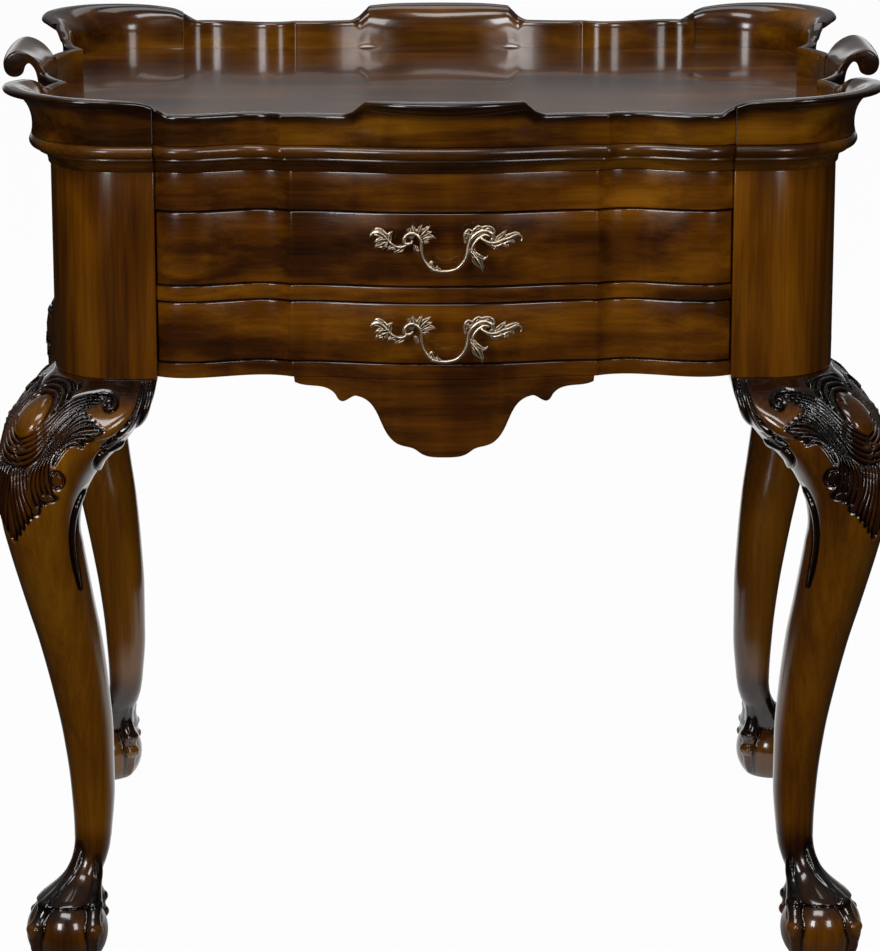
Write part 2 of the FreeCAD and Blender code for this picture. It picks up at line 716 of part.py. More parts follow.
def drawer(name, z0, height, rest_z, pull_z):
    """One drawer: waved front, two sides, back and bottom. rest_z is its runners' top."""
    half_front = seam_x - drawer_side_gap
    half_box = seam_x - drawer_side_clear
    side_z0 = rest_z + runner_clear
    side_z1 = z0 + height - side_top_room
    back_y = back_inner_y - drawer_back_room
    bottom_z = side_z0 + bottom_groove
    bottom_top = bottom_z + bottom_board
    inner = half_box - side_board
    groove_x = half_box - side_board / 2
    front = front_board(front_back_y, half_front, z0, z0 + height)
    write(name + "_front", drill_for_pull(front, pull_z))
    side = box(-half_box, -inner, front_back_y, back_y, side_z0, side_z1)
    side = side.cut(box(-groove_x, -inner, front_back_y, back_y, bottom_z, bottom_top))
    write(name + "_side_left", side)
    write(name + "_side_right", mirror_x(side))
    write(name + "_back", box(-inner, inner, back_y - side_board, back_y, bottom_top, side_z1))
    write(name + "_bottom", box(-groove_x, groove_x, front_back_y, back_y, bottom_z, bottom_top))


# ---------------------------------------------------------------- pulls
# The bail from the left scroll to the right one: x, height above the left scroll, radius
bail_stations = [(-27.0, -1.0, 1.6), (-33.3, -2.0, 2.0), (-33.0, 3.3, 2.4), (-26.5, 5.8, 2.8),
                 (-20.6, 0.5, 3.0), (-18.8, -10.5, 3.0), (-14.0, -22.0, 2.8), (-4.0, -27.6, 2.8),
                 (7.0, -26.6, 2.8), (15.5, -19.8, 3.2), (19.3, -9.0, 3.8), (23.0, 1.5, 4.2),
                 (31.5, 7.5, 4.0), (39.3, 5.5, 3.2), (40.0, -1.0, 2.2)]
# Leaves: root, tip and width
leaves = [((-30, -4), (-63, 2.5), 9.0), ((-38, -4), (-57, -8.5), 7.0), ((-34, -5), (-44, -11.5), 6.0),
          ((-44, -2), (-42, 7.5), 5.0), ((-23, 4), (-27, 13.5), 5.5), ((-21, 4), (-18, 13.5), 6.0),
          ((-20, 3), (-10, 13.0), 7.0), ((-21, 1), (-6.5, 1.5), 8.0), ((27, 6), (17.5, -2.5), 9.0),
          ((23, 3), (33, 12.5), 7.0), ((42, 3), (30, 12.0), 6.0), ((33, 2), (66, 1.5), 9.0),
          ((44, 0), (52, 9.0), 6.0), ((40, 0), (46, -9.5), 6.5), ((52, 1), (57, -7.5), 6.0),
          ((21, -9), (32, -28.0), 8.0), ((22, -11), (37, -14.0), 6.0), ((-9, -26), (-9, -18.0), 5.0),
          ((-5, -27), (-3, -21.5), 4.0)]


def leaf(root, tip, width, y, z):
    """A pointed leaf that lies in the plane of the pull."""
    a = Vector(root[0], y, z + root[1])
    b = Vector(tip[0], y, z + tip[1])
    along = b - a
    across = Vector(0, 1, 0).cross(along).normalize() * (width / 2)
    belly = a + along * 0.4
    upper = Part.Arc(a, belly + across, b).toShape()
    lower = Part.Arc(b, belly - across, a).toShape()
    return Part.Face(Part.Wire([upper, lower])).extrude(Vector(0, leaf_thickness, 0))


def pull(z):
    """One cast pull: an open bail between two scrolls, with leaf sprays, stems and bolts."""
    y = crown_y - pull_stand
    places = [Vector(x, y, z + rise) for x, rise, _ in bail_stations]
    bail = tapered_tube(places, [radius for _, _, radius in bail_stations], Vector(0, 1, 0))
    pieces = [bail]
    for x in stem_places:
        foot = Vector(x, crown_y, z + stem_rise)
        pieces.append(Part.makeCylinder(stem_radius, pull_stand, foot, Vector(0, -1, 0)))
        bolt_length = front_back_y - crown_y + nut_height + bolt_end
        pieces.append(Part.makeCylinder(bolt_radius, bolt_length, foot, Vector(0, 1, 0)))
    pieces += [leaf(root, tip, width, y - leaf_thickness / 2, z) for root, tip, width in leaves]
    return fused(pieces)


for name, z0, height, rest_z in (
        ("upper", upper_drawer_z, upper_drawer_height, mid_rail_top),
        ("lower", lower_drawer_z, lower_drawer_height, lower_rail_top)):
    pull_z = z0 + height - pull_below_top
    drawer(name + "_drawer", z0, height, rest_z, pull_z)
    write(name + "_pull", pull(pull_z))
    nuts = []
    for x in stem_places:
        seat = Vector(x, front_back_y, pull_z + stem_rise)
        nut = Part.makeCylinder(nut_radius, nut_height, seat, Vector(0, 1, 0))
        nuts.append(nut.cut(Part.makeCylinder(bolt_radius, nut_height, seat, Vector(0, 1, 0))))
    write(name + "_pull_nuts", Part.makeCompound(nuts))
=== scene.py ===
import math

import bmesh
import bpy
import numpy as np
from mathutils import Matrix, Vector


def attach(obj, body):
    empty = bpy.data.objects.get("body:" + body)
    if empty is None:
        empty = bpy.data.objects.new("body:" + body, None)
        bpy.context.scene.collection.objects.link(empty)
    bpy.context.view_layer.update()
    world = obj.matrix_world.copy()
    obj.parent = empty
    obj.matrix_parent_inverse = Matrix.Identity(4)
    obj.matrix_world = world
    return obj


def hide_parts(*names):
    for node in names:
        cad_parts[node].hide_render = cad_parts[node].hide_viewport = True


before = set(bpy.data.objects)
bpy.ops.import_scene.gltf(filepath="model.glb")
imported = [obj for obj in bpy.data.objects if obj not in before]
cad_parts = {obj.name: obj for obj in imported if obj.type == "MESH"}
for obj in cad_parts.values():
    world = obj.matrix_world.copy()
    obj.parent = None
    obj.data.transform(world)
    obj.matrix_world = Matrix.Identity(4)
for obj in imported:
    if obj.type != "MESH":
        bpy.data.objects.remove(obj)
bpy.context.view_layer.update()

# A serpentine tray top tea table in polished mahogany and walnut. Pieces are shaped in
# millimetres and turn to metres as their meshes are made. The front faces -Y.
mm = 0.001

# ---------------------------------------------------------------- sizes of the table
case_half_width = 337.0         # middle to the side face of a corner post
case_half_depth = 250.0         # middle to the front face of a corner post
post_face = 91.5                # width of a post's flat-on faces
post_round = 60.0               # radius of a post's outer corner
round_x, round_y = case_half_width - post_round, post_round - case_half_depth   # its middle
leg_height = 525.5              # floor to the underside of a post
seam_x = case_half_width - post_face
seam_y = case_half_depth - post_face

# Levels, from the bottom up: lower rail, lower drawer, middle rail, upper drawer, frieze, top
lower_rail_z, lower_rail_top = 527.0, 540.0
lower_drawer_z, lower_drawer_top = 540.8, 593.0
mid_rail_z, mid_rail_top = 593.8, 607.2
upper_drawer_z, upper_drawer_top = 608.0, 671.2
frieze_z, case_top_z = 672.0, 706.0
band_top_z, tray_z = 719.0, 731.0

drawer_side_gap = 1.2
front_back_y = -222.0           # back of the drawer fronts and of the frieze
rail_back_y = -202.0            # back of the two rails
apron_back_y = -228.0
back_inner_y = 222.0            # inner face of the back board
panel_inner_x = 304.0           # inner face of the side boards
ring_inner = -16.0              # inner edge of the band, from the post face
tray_edge = 5.0                 # edge of the tray board beyond the post face

# The wave of the front and of the side: share of the opening's half length, and reach
front_wave = {"seam": (1.000, -5.0), "bulge": (0.868, 2.0), "hollow": (0.665, -10.0),
              "arris": (0.530, -3.0), "shoulder": (0.428, -2.5), "bow": (0.204, 7.0),
              "crown": (0.000, 10.0)}
side_wave = {"seam": (1.000, -2.0), "lobe": (0.800, -3.0), "cusp": (0.580, -15.0),
             "swell": (0.330, 4.0), "crown": (0.000, 8.0)}
arris_creep = 0.5               # how far the crease walks outward per unit of offset

gallery_inner = 7.0             # faces of the gallery at its foot, beyond the post face
gallery_outer = 16.0
handle_half = 45.0              # half the length of a scroll handle


# ---------------------------------------------------------------- colours and nodes
def linear(hex_colour):
    """An sRGB hex colour as the linear values that a socket holds."""
    values = [int(hex_colour[i:i + 2], 16) / 255 for i in (1, 3, 5)]
    return [v / 12.92 if v <= 0.04045 else ((v + 0.055) / 1.055) ** 2.4 for v in values] + [1.0]


def add(tree, kind, sockets=None, give=0, stops=(), **settings):
    """Adds a node with its settings and links, and returns one of its outputs.

    A socket takes a value or the output that feeds it. Stops are the (place, hex colour)
    marks of a colour ramp.
    """
    node = tree.nodes.new("ShaderNode" + kind)
    for name, value in settings.items():
        setattr(node, name, value)
    for socket, value in (sockets or {}).items():
        if isinstance(value, bpy.types.NodeSocket):
            tree.links.new(value, node.inputs[socket])
        else:
            node.inputs[socket].default_value = value
    if stops:
        marks = node.color_ramp.elements
        while len(marks) < len(stops):
            marks.new(0.5)
        for mark, (place, colour) in zip(marks, stops):
            mark.position = place
            mark.color = linear(colour)
    return node.outputs[give] if len(node.outputs) else node


def new_finish(name):
    """An empty material with its surface output."""
    finish = bpy.data.materials.new(name)
    finish.use_nodes = True
    finish.node_tree.nodes.clear()
    return finish, finish.node_tree


def grain(tree, sizes, detail=3.0, roughness=0.55, seed=0.0, distortion=0.0):
    """A pattern whose blobs are this many millimetres long along X, Y and Z."""
    scaled = add(tree, "Mapping", {"Vector": add(tree, "TexCoord", give="Object"),
                                   "Location": (seed, 1.7 * seed, 2.3 * seed),
                                   "Scale": [1 / (mm * size) for size in sizes]})
    return add(tree, "TexNoise", {"Vector": scaled, "Scale": 1.0, "Detail": detail,
                                  "Roughness": roughness, "Distortion": distortion})


def along(axis, length, width):
    """Grain sizes for the three axes: length along the grain, width across it."""
    return [length if name == axis else width for name in "XYZ"]


def flecked(tree, tone, flecks, depth):
    """A tone that fine flecks make darker and lighter by a depth."""
    shift = add(tree, "MapRange", {"Value": flecks, "From Min": 0.3, "From Max": 0.7,
                                   "To Min": -depth, "To Max": depth})
    return add(tree, "Math", {0: tone, 1: shift}, operation="ADD")


streak_share = 0.24             # of the lacquered wood's tone; the rest is broad figure


def lacquered_wood(name, axis, stops, band_axis=None, band_depth=0.0, glaze_and_shade=0.0, seed=0.0,
                   gloss=0.15, figure_width=40, polish=0.50):
    """Stained mahogany under rubbed lacquer: broad figure, fine streaks, pores, a clear gloss.

    The pores are drawn 0.9 mm wide, about three times the real width, so that they show.
    """
    finish, tree = new_finish(name)
    figure = grain(tree, along(axis, 260, figure_width), 2.0, 0.5, seed, 0.5)
    streak = grain(tree, along(axis, 170, 5.0), 3.0, 0.6, seed + 3, 0.3)
    fibre = grain(tree, along(axis, 26, 0.9), 2.0, 0.6, seed + 5)
    broad = add(tree, "Math", {0: figure, 1: 1 - streak_share}, operation="MULTIPLY")
    tone = add(tree, "Math", {0: streak, 1: streak_share, 2: broad}, operation="MULTIPLY_ADD")
    if band_axis:
        # Light and dark ripples that lie across the grain, as in figured veneer
        band = grain(tree, [38 if n == band_axis else 150 for n in "XYZ"], 2.0, 0.5, seed + 9, 0.6)
        centred = add(tree, "Math", {0: band, 1: 0.5}, operation="SUBTRACT")
        tone = add(tree, "Math", {0: centred, 1: band_depth, 2: tone}, operation="MULTIPLY_ADD")
    tone = flecked(tree, tone, fibre, 0.02)
    if glaze_and_shade:
        # Darker by the hollow attribute: dark glaze left in the hollows of the carving, with
        # painted shade there, under the post, under the web and in the gaps along the boards'
        # arrises
        hollow = add(tree, "Attribute", give="Fac", attribute_name="hollow")
        tone = add(tree, "Math", {0: hollow, 1: -glaze_and_shade, 2: tone}, operation="MULTIPLY_ADD")
    colour = add(tree, "ValToRGB", {"Fac": tone}, stops=stops)
    rough = add(tree, "MapRange", {"Value": streak, "From Min": 0.2, "From Max": 0.8,
                                   "To Min": gloss, "To Max": gloss + 0.06})
    bump = add(tree, "Bump", {"Height": fibre, "Strength": 0.10, "Distance": 0.03 * mm})
    surface = add(tree, "BsdfPrincipled", {
        "Base Color": colour, "Roughness": rough, "Normal": bump, "IOR": 1.5,
        "Specular IOR Level": 0.38, "Coat Weight": polish, "Coat Roughness": 0.04, "Coat IOR": 1.5})
    add(tree, "OutputMaterial", {"Surface": surface})
    return finish


def bare_wood(name, axis, stops, seed=0.0):
    """Planed unfinished hardwood: pale, straight in the grain and dull."""
    finish, tree = new_finish(name)
    growth = grain(tree, along(axis, 420, 12), 3.0, 0.6, seed, 0.4)
    fibre = grain(tree, along(axis, 30, 1.0), 2.0, 0.6, seed + 4)
    tone = flecked(tree, growth, fibre, 0.06)
    rough = add(tree, "MapRange", {"Value": fibre, "From Min": 0.2, "From Max": 0.8,
                                   "To Min": 0.58, "To Max": 0.72})
    bump = add(tree, "Bump", {"Height": fibre, "Strength": 0.25, "Distance": 0.06 * mm})
    surface = add(tree, "BsdfPrincipled", {
        "Base Color": add(tree, "ValToRGB", {"Fac": tone}, stops=stops), "Roughness": rough,
        "Normal": bump, "IOR": 1.5})
    add(tree, "OutputMaterial", {"Surface": surface})
    return finish


def antiqued_brass(name):
    """Cast brass with an antiqued silver-gold plate: bright on the crests, dark in the cuts."""
    finish, tree = new_finish(name)
    hollow = add(tree, "Attribute", give="Fac", attribute_name="hollow")
    speckle = grain(tree, (1.6, 1.6, 1.6), 3.0, 0.6, 2.0)
    wear = flecked(tree, hollow, speckle, 0.12)
    colour = add(tree, "ValToRGB", {"Fac": wear}, stops=[
        (0.0, "#dfcdb6"), (0.28, "#bda78c"), (0.60, "#5c4834"), (1.0, "#160e08")])
    rough = add(tree, "MapRange", {"Value": wear, "From Min": 0.0, "From Max": 1.0,
                                   "To Min": 0.30, "To Max": 0.62})
    bump = add(tree, "Bump", {"Height": speckle, "Strength": 0.2, "Distance": 0.10 * mm})
    surface = add(tree, "BsdfPrincipled", {"Base Color": colour, "Roughness": rough,
                                           "Metallic": 1.0, "Normal": bump})
    add(tree, "OutputMaterial", {"Surface": surface})
    return finish


def zinc_plated_steel(name):
    """Zinc-plated nuts: pale grey metal with a faint mottle."""
    finish, tree = new_finish(name)
    mottle = grain(tree, (2.0, 2.0, 2.0), 3.0, 0.6, 6.0)
    rough = add(tree, "MapRange", {"Value": mottle, "From Min": 0.3, "From Max": 0.7,
                                   "To Min": 0.32, "To Max": 0.45})
    surface = add(tree, "BsdfPrincipled", {
        "Base Color": add(tree, "ValToRGB", {"Fac": mottle}, stops=[(0.3, "#8f9497"),
                                                                   (0.7, "#c3c7c9")]),
        "Roughness": rough, "Metallic": 1.0})
    add(tree, "OutputMaterial", {"Surface": surface})
    return finish


veneer_stops = [(0.26, "#1c0c02"), (0.40, "#3a1b02"), (0.52, "#5a3103"), (0.64, "#784706"),
                (0.80, "#945f0f")]
solid_stops = [(0.26, "#1c0c02"), (0.40, "#3a1d02"), (0.52, "#583203"), (0.64, "#744805"),
               (0.80, "#90600e")]
carved_stops = [(0.10, "#080301"), (0.28, "#2a1202"), (0.42, "#4c2802"), (0.54, "#683d04"),
                (0.80, "#8e5f0c")]
tray_stops = [(0.26, "#200d04"), (0.42, "#371a08"), (0.54, "#502b0b"), (0.66, "#6b3f0d"),
              (0.80, "#865414")]
front_veneer = lacquered_wood("mahogany_veneer_lengthwise", "X", veneer_stops, "X", 0.20,
                              glaze_and_shade=0.30, seed=1)
post_veneer = lacquered_wood("mahogany_veneer_upright", "Z", veneer_stops, "X", 0.06, seed=2)
side_veneer = lacquered_wood("mahogany_veneer_sides", "Y", veneer_stops, "Y", 0.20, seed=3)
gallery_finish = lacquered_wood("shaped_mahogany_gallery", "X", solid_stops, "X", 0.22,
                                glaze_and_shade=0.30, seed=4, polish=0.32)
gallery_side_finish = lacquered_wood("shaped_mahogany_gallery_sides", "Y", solid_stops, "Y", 0.22,
                                     glaze_and_shade=0.30, seed=5, polish=0.32)
moulding_finish = lacquered_wood("mahogany_mouldings", "X", solid_stops, "X", 0.16, seed=6,
                                 gloss=0.24, polish=0.22)
tray_finish = lacquered_wood("figured_mahogany_tray", "X", tray_stops, "X", 0.20, seed=7,
                             gloss=0.18)
carved_finish = lacquered_wood("carved_mahogany_legs", "Z", carved_stops, glaze_and_shade=0.44, seed=8,
                               figure_width=70)
poplar = bare_wood("planed_poplar", "X", [(0.30, "#8a6a43"), (0.50, "#a98658"), (0.70, "#c5a577")])
poplar_deep = bare_wood("planed_poplar_front_to_back", "Y",
                        [(0.30, "#85663f"), (0.50, "#a58254"), (0.70, "#c0a072")], seed=3)
cast_brass = antiqued_brass("antiqued_cast_brass")
nut_steel = zinc_plated_steel("zinc_plated_steel")


# ---------------------------------------------------------------- plan curves
def lagrange(marks, points, places):
    """The one polynomial through every point, at these places."""
    total = np.zeros((len(places), points.shape[1]))
    for i, mark in enumerate(marks):
        weight = np.ones(len(places))
        for j, other in enumerate(marks):
            if j != i:
                weight *= (places - other) / (mark - other)
        total += weight[:, None] * points[i]
    return total


def cubic(t, gap, start, end, leaving, arriving):
    """From start to end over a gap, as t runs from 0 to 1, with a slope at either end."""
    return ((2 * t ** 3 - 3 * t ** 2 + 1) * start + (t ** 3 - 2 * t ** 2 + t) * gap * leaving
            + (3 * t ** 2 - 2 * t ** 3) * end + (t ** 3 - t ** 2) * gap * arriving)


def through(points, count):
    """Points along the smooth curve through a few points, spaced by the chords between them."""
    points = np.array(points, float)
    steps = np.linalg.norm(np.diff(points, axis=0), axis=1)
    marks = np.concatenate([[0.0], np.cumsum(steps)]) / steps.sum()
    places = np.linspace(0.0, 1.0, count)
    if len(points) < 5:
        return lagrange(marks, points, places)
    small = 1e-5
    start = np.diff(lagrange(marks[:4], points[:4], np.array([0.0, small])), axis=0)[0] / small
    end = np.diff(lagrange(marks[-4:], points[-4:], np.array([1 - small, 1.0])), axis=0)[0] / small
    gaps = np.diff(marks)
    table = np.eye(len(points))
    wanted = np.zeros_like(points)
    wanted[0], wanted[-1] = start, end
    for i in range(1, len(points) - 1):
        before, after = gaps[i - 1], gaps[i]
        table[i, i - 1:i + 2] = after, 2 * (before + after), before
        wanted[i] = 3 * (after * (points[i] - points[i - 1]) / before
                         + before * (points[i + 1] - points[i]) / after)
    slopes = np.linalg.solve(table, wanted)
    cell = np.clip(np.searchsorted(marks, places, side="right") - 1, 0, len(gaps) - 1)
    width = gaps[cell][:, None]
    t = (places - marks[cell])[:, None] / width
    return cubic(t, width, points[cell], points[cell + 1], slopes[cell], slopes[cell + 1])


def flowing(places, marks, values):
    """Values that flow from mark to mark without overshooting any of them."""
    marks, values = np.array(marks, float), np.array(values, float)
    gaps = np.diff(marks)
    rates = np.diff(values) / gaps
    slopes = np.zeros(len(marks))
    slopes[0], slopes[-1] = rates[0], rates[-1]
    for i in range(1, len(marks) - 1):
        if rates[i - 1] * rates[i] > 0:
            slopes[i] = 2 * rates[i - 1] * rates[i] / (rates[i - 1] + rates[i])
    places = np.clip(places, marks[0], marks[-1])
    cell = np.clip(np.searchsorted(marks, places, side="right") - 1, 0, len(gaps) - 1)
    t = (places - marks[cell]) / gaps[cell]
    return cubic(t, gaps[cell], values[cell], values[cell + 1], slopes[cell], slopes[cell + 1])


def flowing_columns(places, marks, table):
    """Each column of a table, flowing from mark to mark."""
    return np.stack([flowing(places, marks, column) for column in np.asarray(table, float).T],
                    axis=1)


def eased(value, low_end, high_end):
    """0 below one end, 1 above the other, smooth between."""
    t = np.clip((value - low_end) / (high_end - low_end), 0, 1)
    return t * t * (3 - 2 * t)


def heading(places):
    """Unit directions along a line of places."""
    ways = np.gradient(places, axis=0)
    return ways / np.linalg.norm(ways, axis=1)[:, None]


def full_turn(count):
    """Angles all the way round, in even steps."""
    return np.linspace(0, 2 * math.pi, count, endpoint=False)


def front_half_line(offset, count=48):
    """Plan points of the front from its middle to the right seam, grown outward by an offset."""
    y0 = -(case_half_depth + offset)
    crease = front_wave["arris"][0] * seam_x + arris_creep * max(offset, 0.0)

    def place(name, x=None):
        share, reach = front_wave[name]
        return [share * seam_x if x is None else x, y0 - reach]

    outer = [place("seam"), place("bulge"), place("hollow"), place("arris", crease)]
    inner = [place("arris", crease), place("shoulder"), place("bow"), place("crown")]
    middle = through([[-x, y] for x, y in inner] + inner[-2::-1], 2 * count + 1)[count:]
    right = through(outer, count)[::-1]
    return np.vstack([middle, right[1:]])


def side_half_line(offset, count=32):
    """Plan points of the right side from its front seam to its middle."""
    x0 = case_half_width + offset

    def place(name, sign=-1):
        share, reach = side_wave[name]
        return [x0 + reach, sign * share * seam_y]

    lobe = through([place("seam"), place("lobe"), place("cusp")], count)
    swell = through([place("cusp"), place("swell"), place("crown"), place("swell", 1),
                     place("cusp", 1)], 2 * count + 1)[:count + 1]
    return np.vstack([lobe, swell[1:]])


def corner_line(offset, flat_count=3, arc_count=22):
    """Plan points round the front-right corner, from the front face's seam to the side's."""
    reach = post_round + offset
    x1, y1 = case_half_width + offset, -(case_half_depth + offset)
    front = [[x, y1] for x in np.linspace(seam_x, round_x, flat_count + 1)[:-1]]
    arc = [[round_x + reach * math.sin(turn), round_y - reach * math.cos(turn)]
           for turn in np.linspace(0, math.pi / 2, arc_count)]
    side = [[x1, y] for y in np.linspace(round_y, -seam_y, flat_count + 1)[1:]]
    return np.array(front + arc + side)


def ring_line(offset):
    """The closed plan outline of the whole case, grown outward by an offset."""
    quarter = np.vstack([front_half_line(offset), corner_line(offset), side_half_line(offset)])
    back = quarter[::-1] * [1, -1]
    right = np.vstack([quarter, back[1:-1]])
    return np.vstack([right, quarter[:1] * [1, -1], (right[::-1] * [-1, 1])[:-1]])


def front_full_line(offset):
    """Plan points of the whole front, left to right."""
    half = front_half_line(offset, 160)
    return np.vstack([half[:0:-1] * [-1, 1], half])


front_line = front_full_line(0)
side_half = side_half_line(0, 120)
side_line = np.vstack([side_half, side_half[-2::-1] * [1, -1]])


# ---------------------------------------------------------------- meshes
def skin(rows, capped=True, looped=False):
    """Points and faces of a surface through closed rows of points.

    The first and last rows get caps, or the last row joins the first one.
    """
    rows = np.asarray(rows, float)
    count, width = rows.shape[:2]
    index = np.arange(count * width).reshape(count, width)
    near = np.vstack([index, index[:1]]) if looped else index
    beyond = np.roll(near, -1, axis=1)
    quads = np.stack([near[:-1], beyond[:-1], beyond[1:], near[1:]], axis=-1)
    faces = quads.reshape(-1, 4).tolist()
    if capped:
        faces += [index[0][::-1].tolist(), index[-1].tolist()]
    return rows.reshape(-1, 3), faces


def joined(parts):
    """Several (points, faces) as one."""
    points, faces, start = [], [], 0
    for part_points, part_faces in parts:
        points.append(np.asarray(part_points, float))
        faces += [[corner + start for corner in face] for face in part_faces]
        start += len(part_points)
    return np.vstack(points), faces


def flipped(part, x=1, y=1):
    """The same surface mirrored left to right, front to back or both."""
    points, faces = part
    points = points * [x, y, 1]
    if x * y < 0:
        faces = [face[::-1] for face in faces]
    return points, faces


def piece(name, part, finish, body, nodes, crease=38, hollow=None, mend=True):
    """Makes an object of the table that rides on a body and stands for some of its solids.

    Mending merges points that lie on each other and turns every face outward.
    """
    points, faces = part
    mesh = bpy.data.meshes.new(name)
    mesh.from_pydata((points * mm).tolist(), [], faces)
    if hollow is not None:
        mesh.attributes.new("hollow", "FLOAT", "POINT").data.foreach_set("value", hollow)
    if mend:
        shape = bmesh.new()
        shape.from_mesh(mesh)
        bmesh.ops.remove_doubles(shape, verts=shape.verts, dist=0.001 * mm)
        bmesh.ops.recalc_face_normals(shape, faces=shape.faces)
        shape.to_mesh(mesh)
        shape.free()
    mesh.materials.append(finish)
    mesh.shade_smooth()
    mesh.set_sharp_from_angle(angle=math.radians(crease))
    made = bpy.data.objects.new(name, mesh)
    bpy.context.scene.collection.objects.link(made)
    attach(made, body)
    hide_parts(*nodes)


corner_signs = {"front_left": (1, 1), "front_right": (-1, 1),
                "back_left": (1, -1), "back_right": (-1, -1)}


# ---------------------------------------------------------------- case boards
def rounded_edge(z0, z1, edge, steps=4):
    """(inset, level) pairs up a face whose two long arrises are eased by a radius."""
    turn = np.linspace(0, math.pi / 2, steps)
    low = [(edge * (1 - math.sin(t)), z0 + edge * (1 - math.cos(t))) for t in turn]
    high = [(edge * (1 - math.cos(t)), z1 - edge * (1 - math.sin(t))) for t in turn]
    return low + high


def waved_face(line, every, half, edge):
    """Places along a waved board, its face there, and how far it falls back at its eased ends."""
    along_board, face = line.T
    ends = half - edge * (1 - np.sin(np.linspace(0, math.pi / 2, 5)))
    inside = along_board[::every]
    inside = inside[np.abs(inside) < half - edge]
    places = np.unique(np.round(np.concatenate([-ends, inside, ends]), 4))
    past = np.clip((np.abs(places) - (half - edge)) / edge, 0, 1)
    return places, np.interp(places, along_board, face), edge * (1 - np.sqrt(1 - past ** 2))


# Painted shade lies dark along a board's long arrises, standing for the shaded gaps between the
# boards. From the back of the board round its lower arris, up the face and over the upper arris: 1
# on an arris, 0 on the face and the edges behind
arris_gap_shade = [0.0, 0.0, 1.0, 0.8, 0.45, 0.0, 0.0, 0.45, 0.8, 1.0, 0.0, 0.0]
gap_shade_depth = 1.0               # how far the painted gap shade runs back over an edge


def row_darkening(part, darkening):
    """The darkening of one row of points, for every row of a part."""
    return np.tile(darkening, len(part[0]) // len(darkening))


def waved_board(half, back_y, z0, z1, edge=0.9):
    """A board with the waved front face, eased arrises and a flat back."""
    places, face, fall = waved_face(front_line, 3, half, edge)
    rows = []
    for x, y in zip(places, face + fall):
        behind = y + edge + gap_shade_depth
        rows.append([(x, back_y, z0), (x, behind, z0)]
                    + [(x, y + inset, z) for inset, z in rounded_edge(z0, z1, edge)]
                    + [(x, behind, z1), (x, back_y, z1)])
    return skin(rows)


def side_board(z0, z1, edge=0.6):
    """The right side panel, waved outside and flat inside."""
    places, face, fall = waved_face(side_line[:, ::-1], 2, seam_y, edge)
    rows = []
    for y, x in zip(places, face - fall):
        rows.append([(panel_inner_x, y, z0)]
                    + [(x - inset, y, z) for inset, z in rounded_edge(z0, z1, edge)]
                    + [(panel_inner_x, y, z1)])
    return skin(rows)


half_front = seam_x - drawer_side_gap
for name, half, back_y, z0, z1, edge, body, node in (
        ("upper_drawer_face", half_front, front_back_y, upper_drawer_z, upper_drawer_top, 1.5,
         "upper_drawer", "upper_drawer_front"),
        ("lower_drawer_face", half_front, front_back_y, lower_drawer_z, lower_drawer_top, 1.5,
         "lower_drawer", "lower_drawer_front"),
        ("rail_between_drawers", seam_x, rail_back_y, mid_rail_z, mid_rail_top, 0.9, "case",
         "mid_rail"),
        ("rail_under_drawers", seam_x, rail_back_y, lower_rail_z, lower_rail_top, 0.6, "case",
         "lower_rail"),
        ("frieze_board", seam_x, front_back_y, frieze_z, case_top_z, 1.2, "case", "frieze_rail")):
    board = waved_board(half, back_y, z0, z1, edge)
    # Painted shade of the gaps along the board's long arrises
    piece(name, board, front_veneer, body, [node],
          hollow=row_darkening(board, arris_gap_shade))
back_part = flipped(waved_board(seam_x, -back_inner_y, lower_rail_z, case_top_z), y=-1)
piece("back_board", back_part, front_veneer, "case", ["back_panel"])
side_part = side_board(lower_rail_z, case_top_z)
for side, x_sign in (("right", 1), ("left", -1)):
    piece("side_board_" + side, flipped(side_part, x=x_sign), side_veneer, "case",
          ["side_panel_" + side])


def post_plan(inset, ease=1.0):
    """Plan of the front-left post: a big outer round and three eased corners, drawn inward."""
    x_out, y_out = -case_half_width + inset, -case_half_depth + inset
    x_in, y_in = -seam_x - inset, -seam_y - inset
    points = []
    for centre_x, centre_y, reach, start in (
            (-round_x, round_y, post_round - inset, 180),
            (x_in - ease, y_out + ease, ease, 270), (x_in - ease, y_in - ease, ease, 0),
            (x_out + ease, y_in - ease, ease, 90)):
        for turn in np.radians(np.linspace(start, start + 90, 19 if reach > ease else 5)):
            points.append((centre_x + reach * math.cos(turn), centre_y + reach * math.sin(turn)))
    return points


post_rows = [[(x, y, z) for x, y in post_plan(inset)]
             for inset, z in rounded_edge(leg_height, case_top_z, 1.2)]
post_part = skin(post_rows)
for corner, (x_sign, y_sign) in corner_signs.items():
    piece("post_" + corner, flipped(post_part, x_sign, y_sign), post_veneer, "case",
          ["corner_post_" + corner])


# ---------------------------------------------------------------- apron
apron_depth = 69.0
crease_x = front_wave["arris"][0] * seam_x
# The lower edge from a seam inward: (share of the crease's place, depth below the rail)
apron_parts = [
    [(0.985, 5.0), (0.925, 7.6), (0.780, 10.0), (0.715, 16.0)],
    [(0.715, 16.0), (0.660, 21.2), (0.620, 18.2), (0.585, 16.0)],
    [(0.585, 16.0), (0.475, 24.0), (0.405, 42.0), (0.340, 54.5)]]
apron_tail = [(0.340, 54.5), (0.255, 59.5), (0.200, 61.5), (0.155, 65.5), (0.0, apron_depth)]


def apron_outline():
    """(x, level) pairs along the apron's lower edge, left to right."""
    def place(share, depth):
        return [share * crease_x, lower_rail_z - depth]

    half = [np.array([place(0.990, 0.0)])]
    half += [through([place(*point) for point in part], 26) for part in apron_parts]
    tail = [place(*point) for point in apron_tail]
    full = through(tail + [[-x, z] for x, z in tail[-2::-1]], 121)
    half.append(full[:61])
    right = np.vstack(half)
    return np.vstack([right * [-1, 1], right[-2::-1]])


